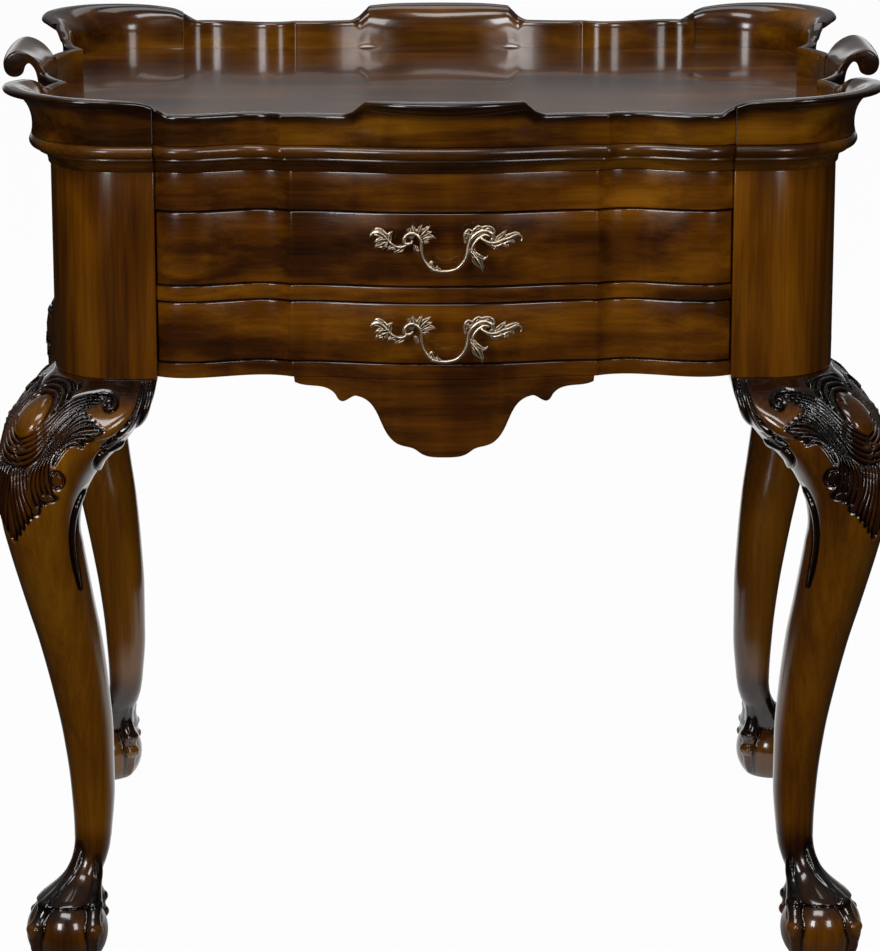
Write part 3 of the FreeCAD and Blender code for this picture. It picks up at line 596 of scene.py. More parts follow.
def apron_skin(edge=1.6):
    """The shaped apron: the wave on its face and an eased lower arris."""
    outline = apron_outline()
    keep = np.concatenate([[True], np.linalg.norm(np.diff(outline, axis=0), axis=1) > 0.05])
    outline = outline[keep]
    ways = heading(outline)
    rows = []
    for (x, z), (way_x, way_z) in zip(outline, ways):
        row = []
        for turn in np.linspace(0, math.pi / 2, 5):
            inset = edge * (1 - math.sin(turn))
            drop = edge * (1 - math.cos(turn))
            face_x, face_z = x - way_z * drop, z + way_x * drop
            face_y = np.interp(face_x, front_line[:, 0], front_line[:, 1])
            row.append((face_x, face_y + inset, min(face_z, lower_rail_z)))
        # The last of these is the arris, and the face runs straight up from it to the rail
        face_x, face_y, start_z = row[-1]
        row += [(face_x, face_y, start_z + (lower_rail_z - start_z) * share)
                for share in np.linspace(0.12, 1.0, 9)]
        rows.append(row + [(face_x, apron_back_y, lower_rail_z), (x, apron_back_y, z)])
    return skin(rows)


piece("shaped_apron", apron_skin(), front_veneer, "case", ["apron"])


# ---------------------------------------------------------------- mouldings round the tray
def moulding(profile, inner):
    """A moulding right round the case from (offset, level) pairs, with a straight inner edge."""
    rows = []
    for offset, z in [(inner, profile[0][1])] + profile + [(inner, profile[-1][1])]:
        ring = ring_line(offset)
        rows.append(np.column_stack([ring, np.full(len(ring), z)]))
    return skin(rows, capped=False, looped=True)


# Offsets from the post face: a cove 8 mm deep between two fine fillets, and a 12 mm half-round
cove_foot, cove_depth, cove_rise = 2.0, 8.0, 9.9
fillet_ease = 0.6
bead_middle, bead_radius = 12.0, 6.0
band_cove = [(cove_foot + cove_depth * (1 - math.cos(t)),
              case_top_z + fillet_ease + cove_rise * math.sin(t))
             for t in np.linspace(0, math.pi / 2, 9)]
band_profile = [(1.6, case_top_z)] + band_cove + [(10.0, band_top_z - fillet_ease),
                                                  (9.6, band_top_z)]
piece("cavetto_moulding", moulding(band_profile, ring_inner), moulding_finish, "case",
      ["band_moulding"], crease=50)
bead_profile = [(bead_middle + bead_radius * math.cos(t),
                 band_top_z + bead_radius + bead_radius * math.sin(t))
                for t in np.linspace(-math.pi / 2, math.pi / 2, 13)]
piece("bead_round_tray", moulding(bead_profile, tray_edge), moulding_finish, "case",
      ["bead_moulding"], crease=50)


# ---------------------------------------------------------------- gallery
plain_round = 3.0               # radius of the top arrises where the wall stands straight
full_flare = 1.2                # from this flare on, the wall has its flared section


def wall_section(height, flare, lip):
    """(offset, level) pairs round a section of the gallery wall."""
    rise, brim = height - lip, gallery_outer + flare
    outer = through([[gallery_outer, 0], [gallery_outer + 0.05 * flare, 0.55 * rise],
                     [gallery_outer + 0.38 * flare, 0.86 * rise], [brim, rise]], 12)
    centre = np.array([brim - 0.12 * lip, height - 0.5 * lip])
    nose = np.array([centre + 0.5 * lip * np.array([math.cos(t), math.sin(t)])
                     for t in np.linspace(-1.25, 1.75, 9)])
    inner = through([[brim - 0.25 * lip, height],
                     [gallery_inner + 0.55 * flare + 3.0, height - 2.2],
                     [gallery_inner + 0.12 * flare, 0.62 * height], [gallery_inner, 0]], 14)
    flared = np.vstack([outer[:-1], nose, inner[1:]])
    turn = np.linspace(0, math.pi / 2, 9)
    across, up = plain_round * np.cos(turn), plain_round * np.sin(turn)
    foot_x, foot_z = gallery_outer - plain_round, height - plain_round
    plain = np.vstack([
        np.column_stack([np.full(11, gallery_outer), np.linspace(0, foot_z, 11)]),
        np.column_stack([foot_x + across, foot_z + up]),
        np.column_stack([gallery_inner + plain_round - up[1:6], foot_z + across[1:6]]),
        np.column_stack([np.full(8, gallery_inner), np.linspace(foot_z, 0, 8)])])
    blend = eased(flare, 0, full_flare)
    section = plain * (1 - blend) + flared * blend
    section[:, 0] = np.maximum(section[:, 0], gallery_inner)
    section[:, 1] = np.clip(section[:, 1], 0, height) + tray_z
    return section


# Darker on the rolled rim: outer face, nose and inner face of a wall section. The scroll handle is
# darker all over
rim_darkening = [0.0] * 8 + [0.3, 0.7] + [1.0] * 11 + [0.6, 0.3] + [0.0] * 10
handle_darkening = 0.45

# Places along each piece, and the wall's height, flare and lip there
low = (26.0, 0.0, 4.0)
centre_forms = ([0, 36.3, 66, 71, 78, 86, 231.5, 239.2, 245.5],
                [(39.5, 11.5, 9.0), (39.5, 9.5, 7.5), (38.5, 5.0, 5.5), (34.5, 2.8, 5.0),
                 (28.5, 0.8, 4.2), low, low, (29.5, 0.7, 4.2), (33.5, 1.5, 4.5)])
gallery_line = front_full_line(gallery_outer)
joint_gap = 0.15                # the pieces meet at hair joints that show as fine lines


def front_gallery():
    """The front piece of the gallery with the raised rolled lip at its middle."""
    places = gallery_line[::2, 0]
    places = np.clip(places, -seam_x + joint_gap, seam_x - joint_gap)
    wall = np.interp(places, gallery_line[:, 0], gallery_line[:, 1])
    rows = []
    for x, y, form in zip(places, wall, flowing_columns(np.abs(places), *centre_forms)):
        rows.append([(x, y + gallery_outer - offset, z) for offset, z in wall_section(*form)])
    return skin(rows)


ear_forms = ([0, 9, 20, 31.5, 60.7, 91.2, 124.3, 150.9, 166.6, 182.4],
             [(33.5, 1.5, 4.5), (37.0, 3.0, 5.0), (38.5, 5.5, 5.0), (39.5, 8.0, 5.2),
              (41.0, 14.0, 5.5), (42.0, 19.5, 5.8), (42.3, 22.0, 6.0), (41.5, 20.0, 6.0),
              (40.5, 15.0, 5.5), (39.0, 8.5, 5.2)])


def corner_ear():
    """The front-right ear, which flares out over the post."""
    run = round_x - seam_x
    sweep = (post_round + gallery_outer) * math.pi / 2
    places = np.concatenate([np.linspace(joint_gap, run, 12)[:-1],
                             np.linspace(run, run + sweep, 44)[:-1],
                             np.linspace(run + sweep, 2 * run + sweep - joint_gap, 12)])
    rows = []
    for s, form in zip(places, flowing_columns(places, *ear_forms)):
        row = []
        turn = np.clip((s - run) / sweep, 0, 1) * math.pi / 2
        for offset, z in wall_section(*form):
            reach = post_round + offset
            row.append((round_x + reach * math.sin(turn) - max(run - s, 0),
                        round_y - reach * math.cos(turn) + max(s - run - sweep, 0), z))
        rows.append(row)
    return skin(rows)


front_part = front_gallery()
for side, y_sign in (("front", 1), ("back", -1)):
    piece("gallery_board_" + side, flipped(front_part, y=y_sign), gallery_finish, "case",
          ["gallery_" + side], hollow=row_darkening(front_part, rim_darkening))
ear_part = corner_ear()
for corner, (x_sign, y_sign) in corner_signs.items():
    piece("gallery_ear_" + corner, flipped(ear_part, -x_sign, y_sign), gallery_finish, "case",
          ["gallery_corner_" + corner], hollow=row_darkening(ear_part, rim_darkening))

side_gallery_line = side_half_line(gallery_outer, 120)
side_forms = ([45, 121.5, 132.6, 145.5, 158.5],
              [low, low, (28.5, 0.8, 4.2), (34.5, 3.5, 4.6), (38.5, 7.5, 5.2)])
# The scroll handle in section: out and over from the wall, ending in a full roll
handle_profile = [(gallery_outer, 0), (16.0, 12.0), (17.3, 22.0), (20.5, 30.5), (25.0, 34.0),
                  (27.6, 31.5), (29.6, 25.8), (36.9, 21.8), (44.0, 24.5), (46.8, 32.0),
                  (43.0, 41.0), (34.0, 44.8), (26.0, 43.0), (16.5, 36.5), (9.5, 26.0),
                  (gallery_inner + 0.4, 14.0), (gallery_inner, 0)]
handle_edge = 1.6               # radius of the handle's end arrises


def section_normals(section):
    """Outward directions round a closed section."""
    way = np.roll(section, -1, axis=0) - np.roll(section, 1, axis=0)
    way /= np.maximum(np.linalg.norm(way, axis=1), 1e-9)[:, None]
    area = 0.5 * np.sum(section[:, 0] * np.roll(section[:, 1], -1)
                        - np.roll(section[:, 0], -1) * section[:, 1])
    return np.stack([way[:, 1], -way[:, 0]], axis=1) * math.copysign(1.0, area)


def side_gallery():
    """The right side piece: the sweeps down from the ears, the notches and the scroll handle.

    Its darkening comes with it.
    """
    places = side_gallery_line[::2, 1]
    places = places[places <= -handle_half]
    places = np.append(places, -handle_half)
    places[0] += joint_gap
    wall = np.interp(places, side_gallery_line[:, 1], side_gallery_line[:, 0])
    rows = []
    for y, x, form in zip(places, wall, flowing_columns(np.abs(places), *side_forms)):
        rows.append([(x + offset - gallery_outer, y, z) for offset, z in wall_section(*form)])
    ramp_part = skin(rows)
    section = through(handle_profile, 110)
    normals = section_normals(section)
    # Stations from the handle's middle to its end: how far the section draws in, and the place
    stations = [(0.0, y) for y in np.linspace(0, handle_half - handle_edge, 20)]
    stations += [(handle_edge * (1 - math.cos(t)), handle_half - handle_edge * (1 - math.sin(t)))
                 for t in np.linspace(0, math.pi / 2, 5)[1:]]
    stations = [(inset, -y) for inset, y in stations[::-1]] + stations[1:]
    rows = []
    for inset, y in stations:
        x = np.interp(-abs(y), side_gallery_line[:, 1], side_gallery_line[:, 0])
        rows.append([(x + offset - gallery_outer, y, max(z, 0) + tray_z)
                     for offset, z in section - normals * inset])
    handle = skin(rows)
    darkening = [row_darkening(ramp_part, rim_darkening)] * 2 + [np.full(len(handle[0]), handle_darkening)]
    return joined([ramp_part, flipped(ramp_part, y=-1), handle]), np.concatenate(darkening)


side_gallery_part, side_gallery_darkening = side_gallery()
for side, x_sign in (("right", 1), ("left", -1)):
    piece("gallery_board_side_" + side, flipped(side_gallery_part, x=x_sign),
          gallery_side_finish, "case", ["gallery_side_" + side],
          hollow=side_gallery_darkening)


# ---------------------------------------------------------------- cabriole legs
# Share of the leg's height, outer reach beyond the post face, inner edge inward of the post
# face, and the radii of the outward corner, the inward corner and the two side corners
leg_sections = np.array([
    (1.000, 0.0, 91.5, 60, 8, 8), (0.974, 17.0, 88.5, 60, 14, 18),
    (0.948, 31.0, 83.5, 62, 22, 30), (0.922, 39.5, 75.0, 80, 34, 44),
    (0.894, 44.0, 62.5, 80, 80, 80), (0.866, 46.0, 46.0, 80, 80, 80),
    (0.837, 46.6, 34.5, 80, 80, 80), (0.799, 45.6, 26.0, 80, 80, 80),
    (0.761, 43.0, 23.6, 80, 80, 80), (0.723, 38.8, 26.0, 80, 80, 80),
    (0.620, 25.6, 33.6, 80, 80, 80), (0.550, 16.2, 39.0, 80, 80, 80),
    (0.463, 6.4, 43.2, 80, 80, 80), (0.377, -1.6, 45.6, 80, 80, 80),
    (0.289, -6.8, 45.6, 80, 80, 80), (0.202, -9.0, 42.0, 80, 80, 80),
    (0.167, -8.6, 40.0, 80, 80, 80), (0.125, -2.0, 32.0, 80, 80, 80)])[::-1]


def leg_rows(levels, turns, inset=0.0):
    """Rows of points round the front-left leg. A turn of 0 faces out along the diagonal."""
    marks = leg_sections[:, 0] * leg_height
    outer, inner, out_r, in_r, side_r = flowing_columns(
        levels, marks, leg_sections[:, 1:]).T[..., None]
    half = 0.5 * (outer + inner) - inset
    middle = outer - half - inset
    direction = turns[None, :] + math.pi / 4
    u, v = np.cos(direction), np.sin(direction)
    radius = np.where((u >= 0) & (v >= 0), out_r, np.where((u < 0) & (v < 0), in_r, side_r))
    radius = np.minimum(radius, half)
    au, av = np.abs(u), np.abs(v)
    core = half - radius
    round_reach = core * (au + av) + np.sqrt(
        np.maximum(radius ** 2 - core ** 2 * (1 - 2 * au * av), 0))
    flat_reach = half / np.maximum(au, av)
    on_round = (round_reach * np.minimum(au, av) > core)
    reach = np.where(on_round, round_reach, flat_reach)
    x = -(case_half_width + middle) - reach * u
    y = -(case_half_depth + middle) - reach * v
    return np.stack([x, y, np.broadcast_to(levels[:, None], x.shape)], axis=-1)


def surface_normals(rows):
    """Outward unit normals of rows that close round the leg and run upward."""
    round_way = np.roll(rows, -1, axis=1) - np.roll(rows, 1, axis=1)
    up_way = np.gradient(rows, axis=0)
    normal = np.cross(round_way, up_way)
    return normal / np.linalg.norm(normal, axis=-1, keepdims=True)


# The knee's carving, drawn on the front half of the leg and mirrored over its outward diagonal
thinnest_strand, thickest_strand = 0.75, 2.4            # half widths


def between(first, second, count):
    """Strands that fill the room between two guide lines, with their half widths."""
    first, second = np.array(first, float), np.array(second, float)
    way = heading(first + second)
    across = second - first
    room = np.abs(across[:, 0] * way[:, 1] - across[:, 1] * way[:, 0]) / (count - 1)
    widths = np.clip(0.46 * room, thinnest_strand, thickest_strand)
    return [(first + (second - first) * share, widths) for share in np.linspace(0, 1, count)]


def alone(path, width):
    """One strand of an even width."""
    return [(np.array(path, float), np.full(len(path), width))]


# Hair-like fronds that arch over the cabochon: (distance from the diagonal, level)
hood = between([(-6, 525), (0, 525.3), (8, 525), (15, 523), (20, 519)],
               [(-6, 513.5), (0, 514.5), (9, 513), (15.5, 506.5), (17.5, 494)], 4)
rim = alone([(-6, 513.8), (0, 514.8), (7, 513.8), (13, 509.5), (16.5, 502), (17.3, 494),
             (15.5, 486)], 1.5)
# Everything else: (reach outward of the post face, level). The levels are as seen from the front
# and a little above, so a level on the leg counts less by sight_fall for each mm that it reaches
# out to the front
sight_fall = 0.266
frond_to_ridge = between(
    [(-53, 511), (-40.5, 512.5), (-29, 511), (-18, 506.5), (-9, 498), (-0.5, 489.5), (7.5, 482),
     (16, 477), (27.5, 474)],
    [(-30, 499), (-24.5, 497), (-16, 491), (-7, 481.5), (1, 469.5), (9, 458.5), (18.5, 452),
     (27, 450.5), (36, 452)], 6)
frond_down = between(
    [(-30.5, 495), (-23, 492), (-14, 482.5), (-4.5, 470.5), (4.5, 458.5), (11.5, 448), (16, 436),
     (15.5, 423), (11.5, 411)],
    [(-46, 480), (-36, 484), (-25.5, 481.5), (-15, 473), (-7, 463.5), (-1, 454), (1.5, 443),
     (0.5, 431), (-4, 421)], 5)
frond_tip = between(
    [(-46, 479), (-36, 476.5), (-25.5, 475.5), (-16, 470.5), (-9.5, 462.5), (-4.5, 453)],
    [(-29, 467), (-24.5, 469.5), (-18.5, 468.5), (-13, 463.5), (-8, 456.5), (-4.5, 449.5)], 3)
hanging = between([(36, 449), (36, 432), (35.5, 415), (33.5, 400), (31, 384)],
                  [(19, 447), (20, 435), (18, 423), (14, 414.5), (11.5, 408.5)], 6)
scroll = alone([(-40, 513.5), (-46.5, 513), (-52.5, 511.5), (-56.5, 506.5), (-55.5, 500.5),
                (-50.5, 498.5), (-47.5, 502)], 1.6)
edge_lines = (alone([(-86.5, 525), (-85.5, 511), (-82.5, 498), (-71.5, 477.5), (-59, 466.5),
                     (-50, 461)], 1.5)
              + alone([(-80, 525), (-79, 511), (-76, 499), (-65.5, 481), (-54, 470.5),
                       (-46, 465.5)], 1.3)
              + alone([(-43.5, 438), (-37, 433.5), (-30.5, 427.5), (-25, 418), (-21, 406),
                       (-19, 394), (-18.5, 380), (-20, 362), (-23.5, 340)], 1.2))
edge_break = alone([(-49, 462), (-44.5, 456), (-41.5, 450), (-42.5, 444.5)], 2.8)
bead_cord = alone([(-3.5, 442.8), (-8.0, 442.4), (-11.8, 439.0), (-12.2, 434.0), (-9.0, 430.2),
                   (-4.0, 430.0)], 1.0)
carved_lines = (frond_to_ridge + frond_down + frond_tip + hanging + scroll + edge_lines
                + edge_break + bead_cord)
# (reach, level, half width, half height, crest height) of the rounded bosses
carved_bosses = [
    (-51.5, 503.5, 2.2, 2.4, 1.4), (-7.2, 436.2, 4.6, 5.0, 4.2), (1.5, 420.5, 6.5, 3.0, 2.6),
    (11.5, 409.5, 3.4, 3.6, 2.4), (29, 467, 4.0, 3.6, 2.8), (31.5, 459.5, 4.0, 3.6, 2.6),
    (24, 462.5, 3.8, 3.4, 2.8), (33, 452, 3.6, 3.4, 2.4), (26, 455.5, 3.6, 3.2, 2.5),
    (28, 473, 3.2, 3.0, 2.2)]
cabochon = (0.0, 497.0, 14.5, 16.0, 5.5)
# Relief: how much of a crest stands out, and how deep its ground and the knee's ridge are cut
crest_gain, ground_cut, ridge_cut = 1.35, 1.0, 2.4
carved_from = 335.0             # lowest level of the carving
foot_top = 104.0                # lowest level of the shaft, inside the foot
# The carving stays inside the leg's own reach to the side and to the front
furthest_x, furthest_y = -383.4, -296.4


def line_distance(spots, path):
    """Distance from every spot to a path, and how far along the path its nearest point is."""
    best = np.full(len(spots), 1e9)
    share = np.zeros(len(spots))
    for i, (start, end) in enumerate(zip(path[:-1], path[1:])):
        way = end - start
        t = np.clip(((spots - start) @ way) / max(way @ way, 1e-9), 0, 1)
        gap = np.linalg.norm(spots - start - t[:, None] * way, axis=1)
        nearer = gap < best
        best[nearer] = gap[nearer]
        share[nearer] = (i + t[nearer]) / (len(path) - 1)
    return best, share


def strands_on(spots, strands):
    """Crest height of strands at some spots, and the distance from the nearest one's side."""
    crest = np.zeros(len(spots))
    clear = np.full(len(spots), 1e9)
    for path, widths in strands:
        line = through(path, 26)
        gap, share = line_distance(spots, line)
        taper = np.minimum(1, 0.3 + 5.0 * np.minimum(share, 1 - share))
        width = np.interp(share, np.linspace(0, 1, len(widths)), widths) * taper
        height = np.minimum(2.5, 0.5 + 1.2 * width)
        crest = np.maximum(crest, height * np.sqrt(np.maximum(1 - (gap / width) ** 2, 0)))
        clear = np.minimum(clear, gap - width)
    return crest, clear


def bosses_on(spots, bosses):
    """Crest height of rounded bosses at some spots, and the distance from the nearest one."""
    crest = np.zeros(len(spots))
    clear = np.full(len(spots), 1e9)
    for across, level, wide, tall, height in bosses:
        gap = np.sqrt(((spots[:, 0] - across) / wide) ** 2 + ((spots[:, 1] - level) / tall) ** 2)
        crest = np.maximum(crest, height * np.sqrt(np.maximum(1 - gap ** 2, 0)))
        clear = np.minimum(clear, (gap - 1) * min(wide, tall))
    return crest, clear


def carving(spots, diagonal_spots):
    """Relief height at every spot, and the distance outside the carved mass."""
    layers = [strands_on(diagonal_spots, hood + rim), bosses_on(diagonal_spots, [cabochon]),
              strands_on(spots, carved_lines), bosses_on(spots, carved_bosses)]
    return (np.max([crest for crest, _ in layers], axis=0),
            np.min([clear for _, clear in layers], axis=0))


def leg_shaft():
    """The front-left leg above its foot, with the carved knee, and its darkening: dark glaze and
    painted shade.
    """
    levels = np.concatenate([np.linspace(foot_top, carved_from - 5, 60)[:-1],
                             np.linspace(carved_from - 5, leg_height - 0.9, 350),
                             [leg_height - 0.4, leg_height]])
    # Close turns over the carved front, in degrees from the outward diagonal, and wide ones behind
    turns = np.radians(np.concatenate([np.linspace(-122, 122, 420),
                                       np.linspace(122, 238, 34)[1:-1]]))
    rows = leg_rows(levels, turns)
    normals = surface_normals(rows)
    outward_x, outward_y = -rows[..., 0] - case_half_width, -rows[..., 1] - case_half_depth
    reach = np.minimum(outward_x, outward_y)
    level = rows[..., 2] - sight_fall * np.maximum(outward_x, outward_y)
    facing = np.where(outward_y >= outward_x, -normals[..., 1], -normals[..., 0])
    near = (rows[..., 2] > carved_from) & (facing > 0.02)
    spots = np.stack([reach[near], level[near]], axis=1)
    aside = np.abs(outward_x - outward_y)[near] / math.sqrt(2)
    heights = rows[..., 2][near]
    crest, clear = carving(spots, np.stack([aside, heights], axis=1))
    fade = eased(facing[near], 0.02, 0.25) * eased(leg_height - heights, 0.3, 3.0)
    mass = 1 - eased(clear, 0.3, 3.0)
    sink = ridge_cut * eased(spots[:, 0], 16, 38) * mass
    relief = np.zeros(reach.shape)
    relief[near] = (crest_gain * crest - ground_cut * mass - sink) * fade
    # The cuts get dark glaze and painted shade in the grooves, the carved mass is darker, the
    # cabochon is tinted, and painted shade darkens the leg under the post
    oval = np.hypot(aside / cabochon[2], (heights - cabochon[1]) / cabochon[3])
    shade = 0.50 * mass * eased(oval, 0.85, 1.1)
    cuts = (1 - eased(crest, 0.3, 1.9)) * (1 - eased(clear, 0.0, 2.2)) * eased(oval, 0.9, 1.05)
    # Painted shade on the leg under the post, and the ankle's darkening carried up from the foot
    hollow = ankle_glaze_and_web_shade(rows[..., 2]) + 0.60 * eased(rows[..., 2], 500, 524)
    hollow[near] += (0.80 * cuts + shade + 0.24 * (1 - eased(oval, 0.7, 1.0))) * fade
    rows = rows + normals * relief[..., None]
    rows[-1] = leg_rows(levels[-1:], turns, 0.8)[0]
    rows[..., 0] = np.maximum(rows[..., 0], furthest_x)
    rows[..., 1] = np.maximum(rows[..., 1], furthest_y)
    return skin(rows), np.clip(hollow, 0, 1).ravel()


# ---------------------------------------------------------------- claws and balls
ball_radius = 36.0
ball_middle = np.array([-(case_half_width - 2.5), -(case_half_depth - 2.5), 24.0])
outward = np.array([-1.0, -1.0, 0.0]) / math.sqrt(2)
sideways = np.array([-1.0, 1.0, 0.0]) / math.sqrt(2)
# Stations of each toe: ahead of the ball's middle along the outward diagonal, aside, height
# and radius. The last three are the nail.
toe_front = [(-27, 0, 114, 5.0), (-21.5, 0, 97, 6.0), (-16, 0, 84, 6.2), (-8.5, 0, 70.5, 6.8),
             (6.5, 0, 60, 7.2), (21.5, 0, 50, 8.4), (29.5, 0, 41, 6.8), (35, 0, 32, 8.2),
             (37, 0, 24.5, 6.2), (36.5, 0, 17, 5.4), (34.8, 0, 9, 4.2), (32.0, 0, 2.4, 1.8)]
toe_side = [(-31, 3, 114, 5.0), (-28, 6, 97, 6.0), (-26, 9, 84, 6.2), (-23, 12, 70, 6.6),
            (-16.5, 18, 59, 7.2), (-9, 25.5, 49.5, 8.2), (-3.5, 31.5, 41, 6.8),
            (0.5, 35.3, 32.5, 7.8), (1.5, 36.5, 25, 6.2), (1, 35.8, 17.5, 5.4),
            (0, 33.4, 9, 4.2), (0, 30.6, 2.4, 1.8)]
toe_back = [(-34, 0, 112, 6.0), (-34.5, 0, 97, 6.5), (-32, 0, 82, 6.6), (-30, 0, 68, 6.8),
            (-32, 0, 55, 7.6), (-35.5, 0, 45, 8.2), (-36.2, 0, 38, 6.8), (-36.8, 0, 31.5, 7.8),
            (-36.8, 0, 24.5, 6.2), (-36.2, 0, 17.5, 5.4), (-34.2, 0, 9, 4.2), (-29, 0, 2.4, 1.8)]
upper_knuckle, lower_knuckle, nail_root = 5, 7, 8       # stations
tendon_aside = 2.9              # from the toe's middle
knob_radius, knob_proud = 5.6, 0.9     # each half of a split knuckle, and how far it stands out
foot_voxel = 0.95               # finest detail that melting leaves on a foot
# The end of the shaft and the web of the palm over the ball: ahead, height and radius
palm_rings = [(-32.6, 114, 16.4), (-32.3, 104, 16.2), (-31, 95, 15.9), (-27.5, 85, 15.6),
              (-22, 76, 15.9), (-16.5, 69, 18.0), (-9.5, 62, 22.3), (-3.5, 56.5, 26.2),
              (-0.5, 52.5, 27.8)]


def tube(places, radii, count=16):
    """A round bar of changing radius along a line of places."""
    places = np.asarray(places, float)
    ways = heading(places)
    across = np.cross(ways[0], [0.3, 0.2, 1.0])
    rows = []
    for place, way, radius in zip(places, ways, radii):
        across = across - way * (across @ way)
        across /= np.linalg.norm(across)
        other = np.cross(way, across)
        rows.append([place + radius * (math.cos(t) * across + math.sin(t) * other)
                     for t in full_turn(count)])
    return skin(rows)


def ball_mesh(centre, radius, count=40):
    """A closed ball of rings."""
    rows = []
    for up in np.linspace(-math.pi / 2 + 0.02, math.pi / 2 - 0.02, count // 2):
        rows.append([(centre[0] + radius * math.cos(up) * math.cos(t),
                      centre[1] + radius * math.cos(up) * math.sin(t),
                      centre[2] + radius * math.sin(up)) for t in full_turn(count)])
    return skin(rows)


def bar(places, radii, count=14):
    """A tube with a rounded start and end."""
    return [tube(places, radii, count), ball_mesh(places[0], radii[0] * 0.99, count),
            ball_mesh(places[-1], radii[-1] * 0.99, count)]


def toe_parts(stations, side=1):
    """One toe: two tendons down the ankle, two split knuckles, and the nail.

    The line to the nail's tip, the radii along it and the lower knuckle's crest come with it.
    """
    stations = np.array(stations, float)
    places = (np.array([ball_middle[0], ball_middle[1], 0.0]) + outward * stations[:, :1]
              + sideways * stations[:, 1:2] * side + np.array([0.0, 0.0, 1.0]) * stations[:, 2:3])
    steps = np.linalg.norm(np.diff(places, axis=0), axis=1)
    marks = np.concatenate([[0.0], np.cumsum(steps)])
    way = places[lower_knuckle] - ball_middle
    way[2] = 0.0
    way /= np.linalg.norm(way)
    beside = np.array([-way[1], way[0], 0.0])

    def line(first, last, count):
        spots = np.linspace(marks[first], marks[last], count)
        found = flowing_columns(spots, marks, np.hstack([places, stations[:, 3:]]))
        return found[:, :3], found[:, 3]

    flesh, thick = line(0, nail_root, 44)
    parts = bar(flesh, thick)
    nail, thin = line(nail_root, len(stations) - 1, 16)
    parts += bar(nail - way * 0.4, np.minimum(thin, 5.3))
    proud = np.cross(heading(flesh), beside)
    proud *= np.sign(proud @ way)[:, None]
    tendon = slice(8, 26)                   # where the tendons run along the flesh
    swell = np.sin(np.linspace(0.3, math.pi - 0.35, 18))
    for sign in (-1, 1):
        ridge = (flesh[tendon] + proud[tendon] * (thick[tendon, None] * 0.74)
                 + beside * (tendon_aside * sign))
        parts.append(tube(ridge, 0.7 + 1.5 * swell, 10))
    for station, aside in ((upper_knuckle, 2.6), (lower_knuckle, 2.4)):
        spot = int(np.argmin(np.linalg.norm(flesh - places[station], axis=1)))
        centre = flesh[spot] + proud[spot] * (thick[spot] - knob_radius + knob_proud)
        parts += [ball_mesh(centre + beside * (aside * sign), knob_radius, 18)
                  for sign in (-1, 1)]
    crest = centre + way * knob_radius
    return parts, np.vstack([flesh, nail]), np.concatenate([thick, thin]), crest


def melted(parts, voxel, smoothing):
    """Closed parts made into one skin, as a carver leaves them, with soft inner corners."""
    points, faces = joined(parts)
    mesh = bpy.data.meshes.new("rough")
    mesh.from_pydata((points * mm).tolist(), [], faces)
    rough = bpy.data.objects.new("rough", mesh)
    bpy.context.scene.collection.objects.link(rough)
    blend = rough.modifiers.new("melt", "REMESH")
    blend.mode = "VOXEL"
    blend.voxel_size = voxel * mm
    soften = rough.modifiers.new("soften", "SMOOTH")
    soften.iterations = smoothing
    soften.factor = 0.5
    done = bpy.data.meshes.new_from_object(rough.evaluated_get(
        bpy.context.evaluated_depsgraph_get()))
    flat = np.zeros(len(done.vertices) * 3)
    done.vertices.foreach_get("co", flat)
    faces = [list(face.vertices) for face in done.polygons]
    bpy.data.objects.remove(rough)
    return flat.reshape(-1, 3) / mm, faces


def hollows(part, rounds, full):
    """How deep each point lies in a hollow of its surface: 0 on crests, 1 at the full depth."""
    points, faces = part
    quads = np.array([face for face in faces if len(face) == 4])
    a, b, c, d = [points[quads[:, i]] for i in range(4)]
    face_normals = np.cross(c - a, d - b)
    normals = np.zeros_like(points)
    for i in range(4):
        np.add.at(normals, quads[:, i], face_normals)
    normals /= np.maximum(np.linalg.norm(normals, axis=1), 1e-9)[:, None]
    starts = quads.ravel()
    ends = np.roll(quads, -1, axis=1).ravel()
    both = np.concatenate([starts, ends]), np.concatenate([ends, starts])
    counts = np.maximum(np.bincount(both[0], minlength=len(points)), 1)[:, None]
    soft = points
    for _ in range(rounds):
        total = np.stack([np.bincount(both[0], soft[both[1], i], len(points)) for i in range(3)],
                         axis=1)
        soft = 0.3 * soft + 0.7 * total / counts
    depth = np.einsum("ij,ij->i", soft - points, normals)
    return np.clip(depth / full, 0, 1)


def ankle_glaze_and_web_shade(height):
    """A dark glaze lies broadly over the ankle and the web; on the top of the ball it is painted
    shade under the web, and it thins out lower on the ball.
    """
    return 0.56 * eased(height, 32, 56) * (1 - eased(height, 90, 124))


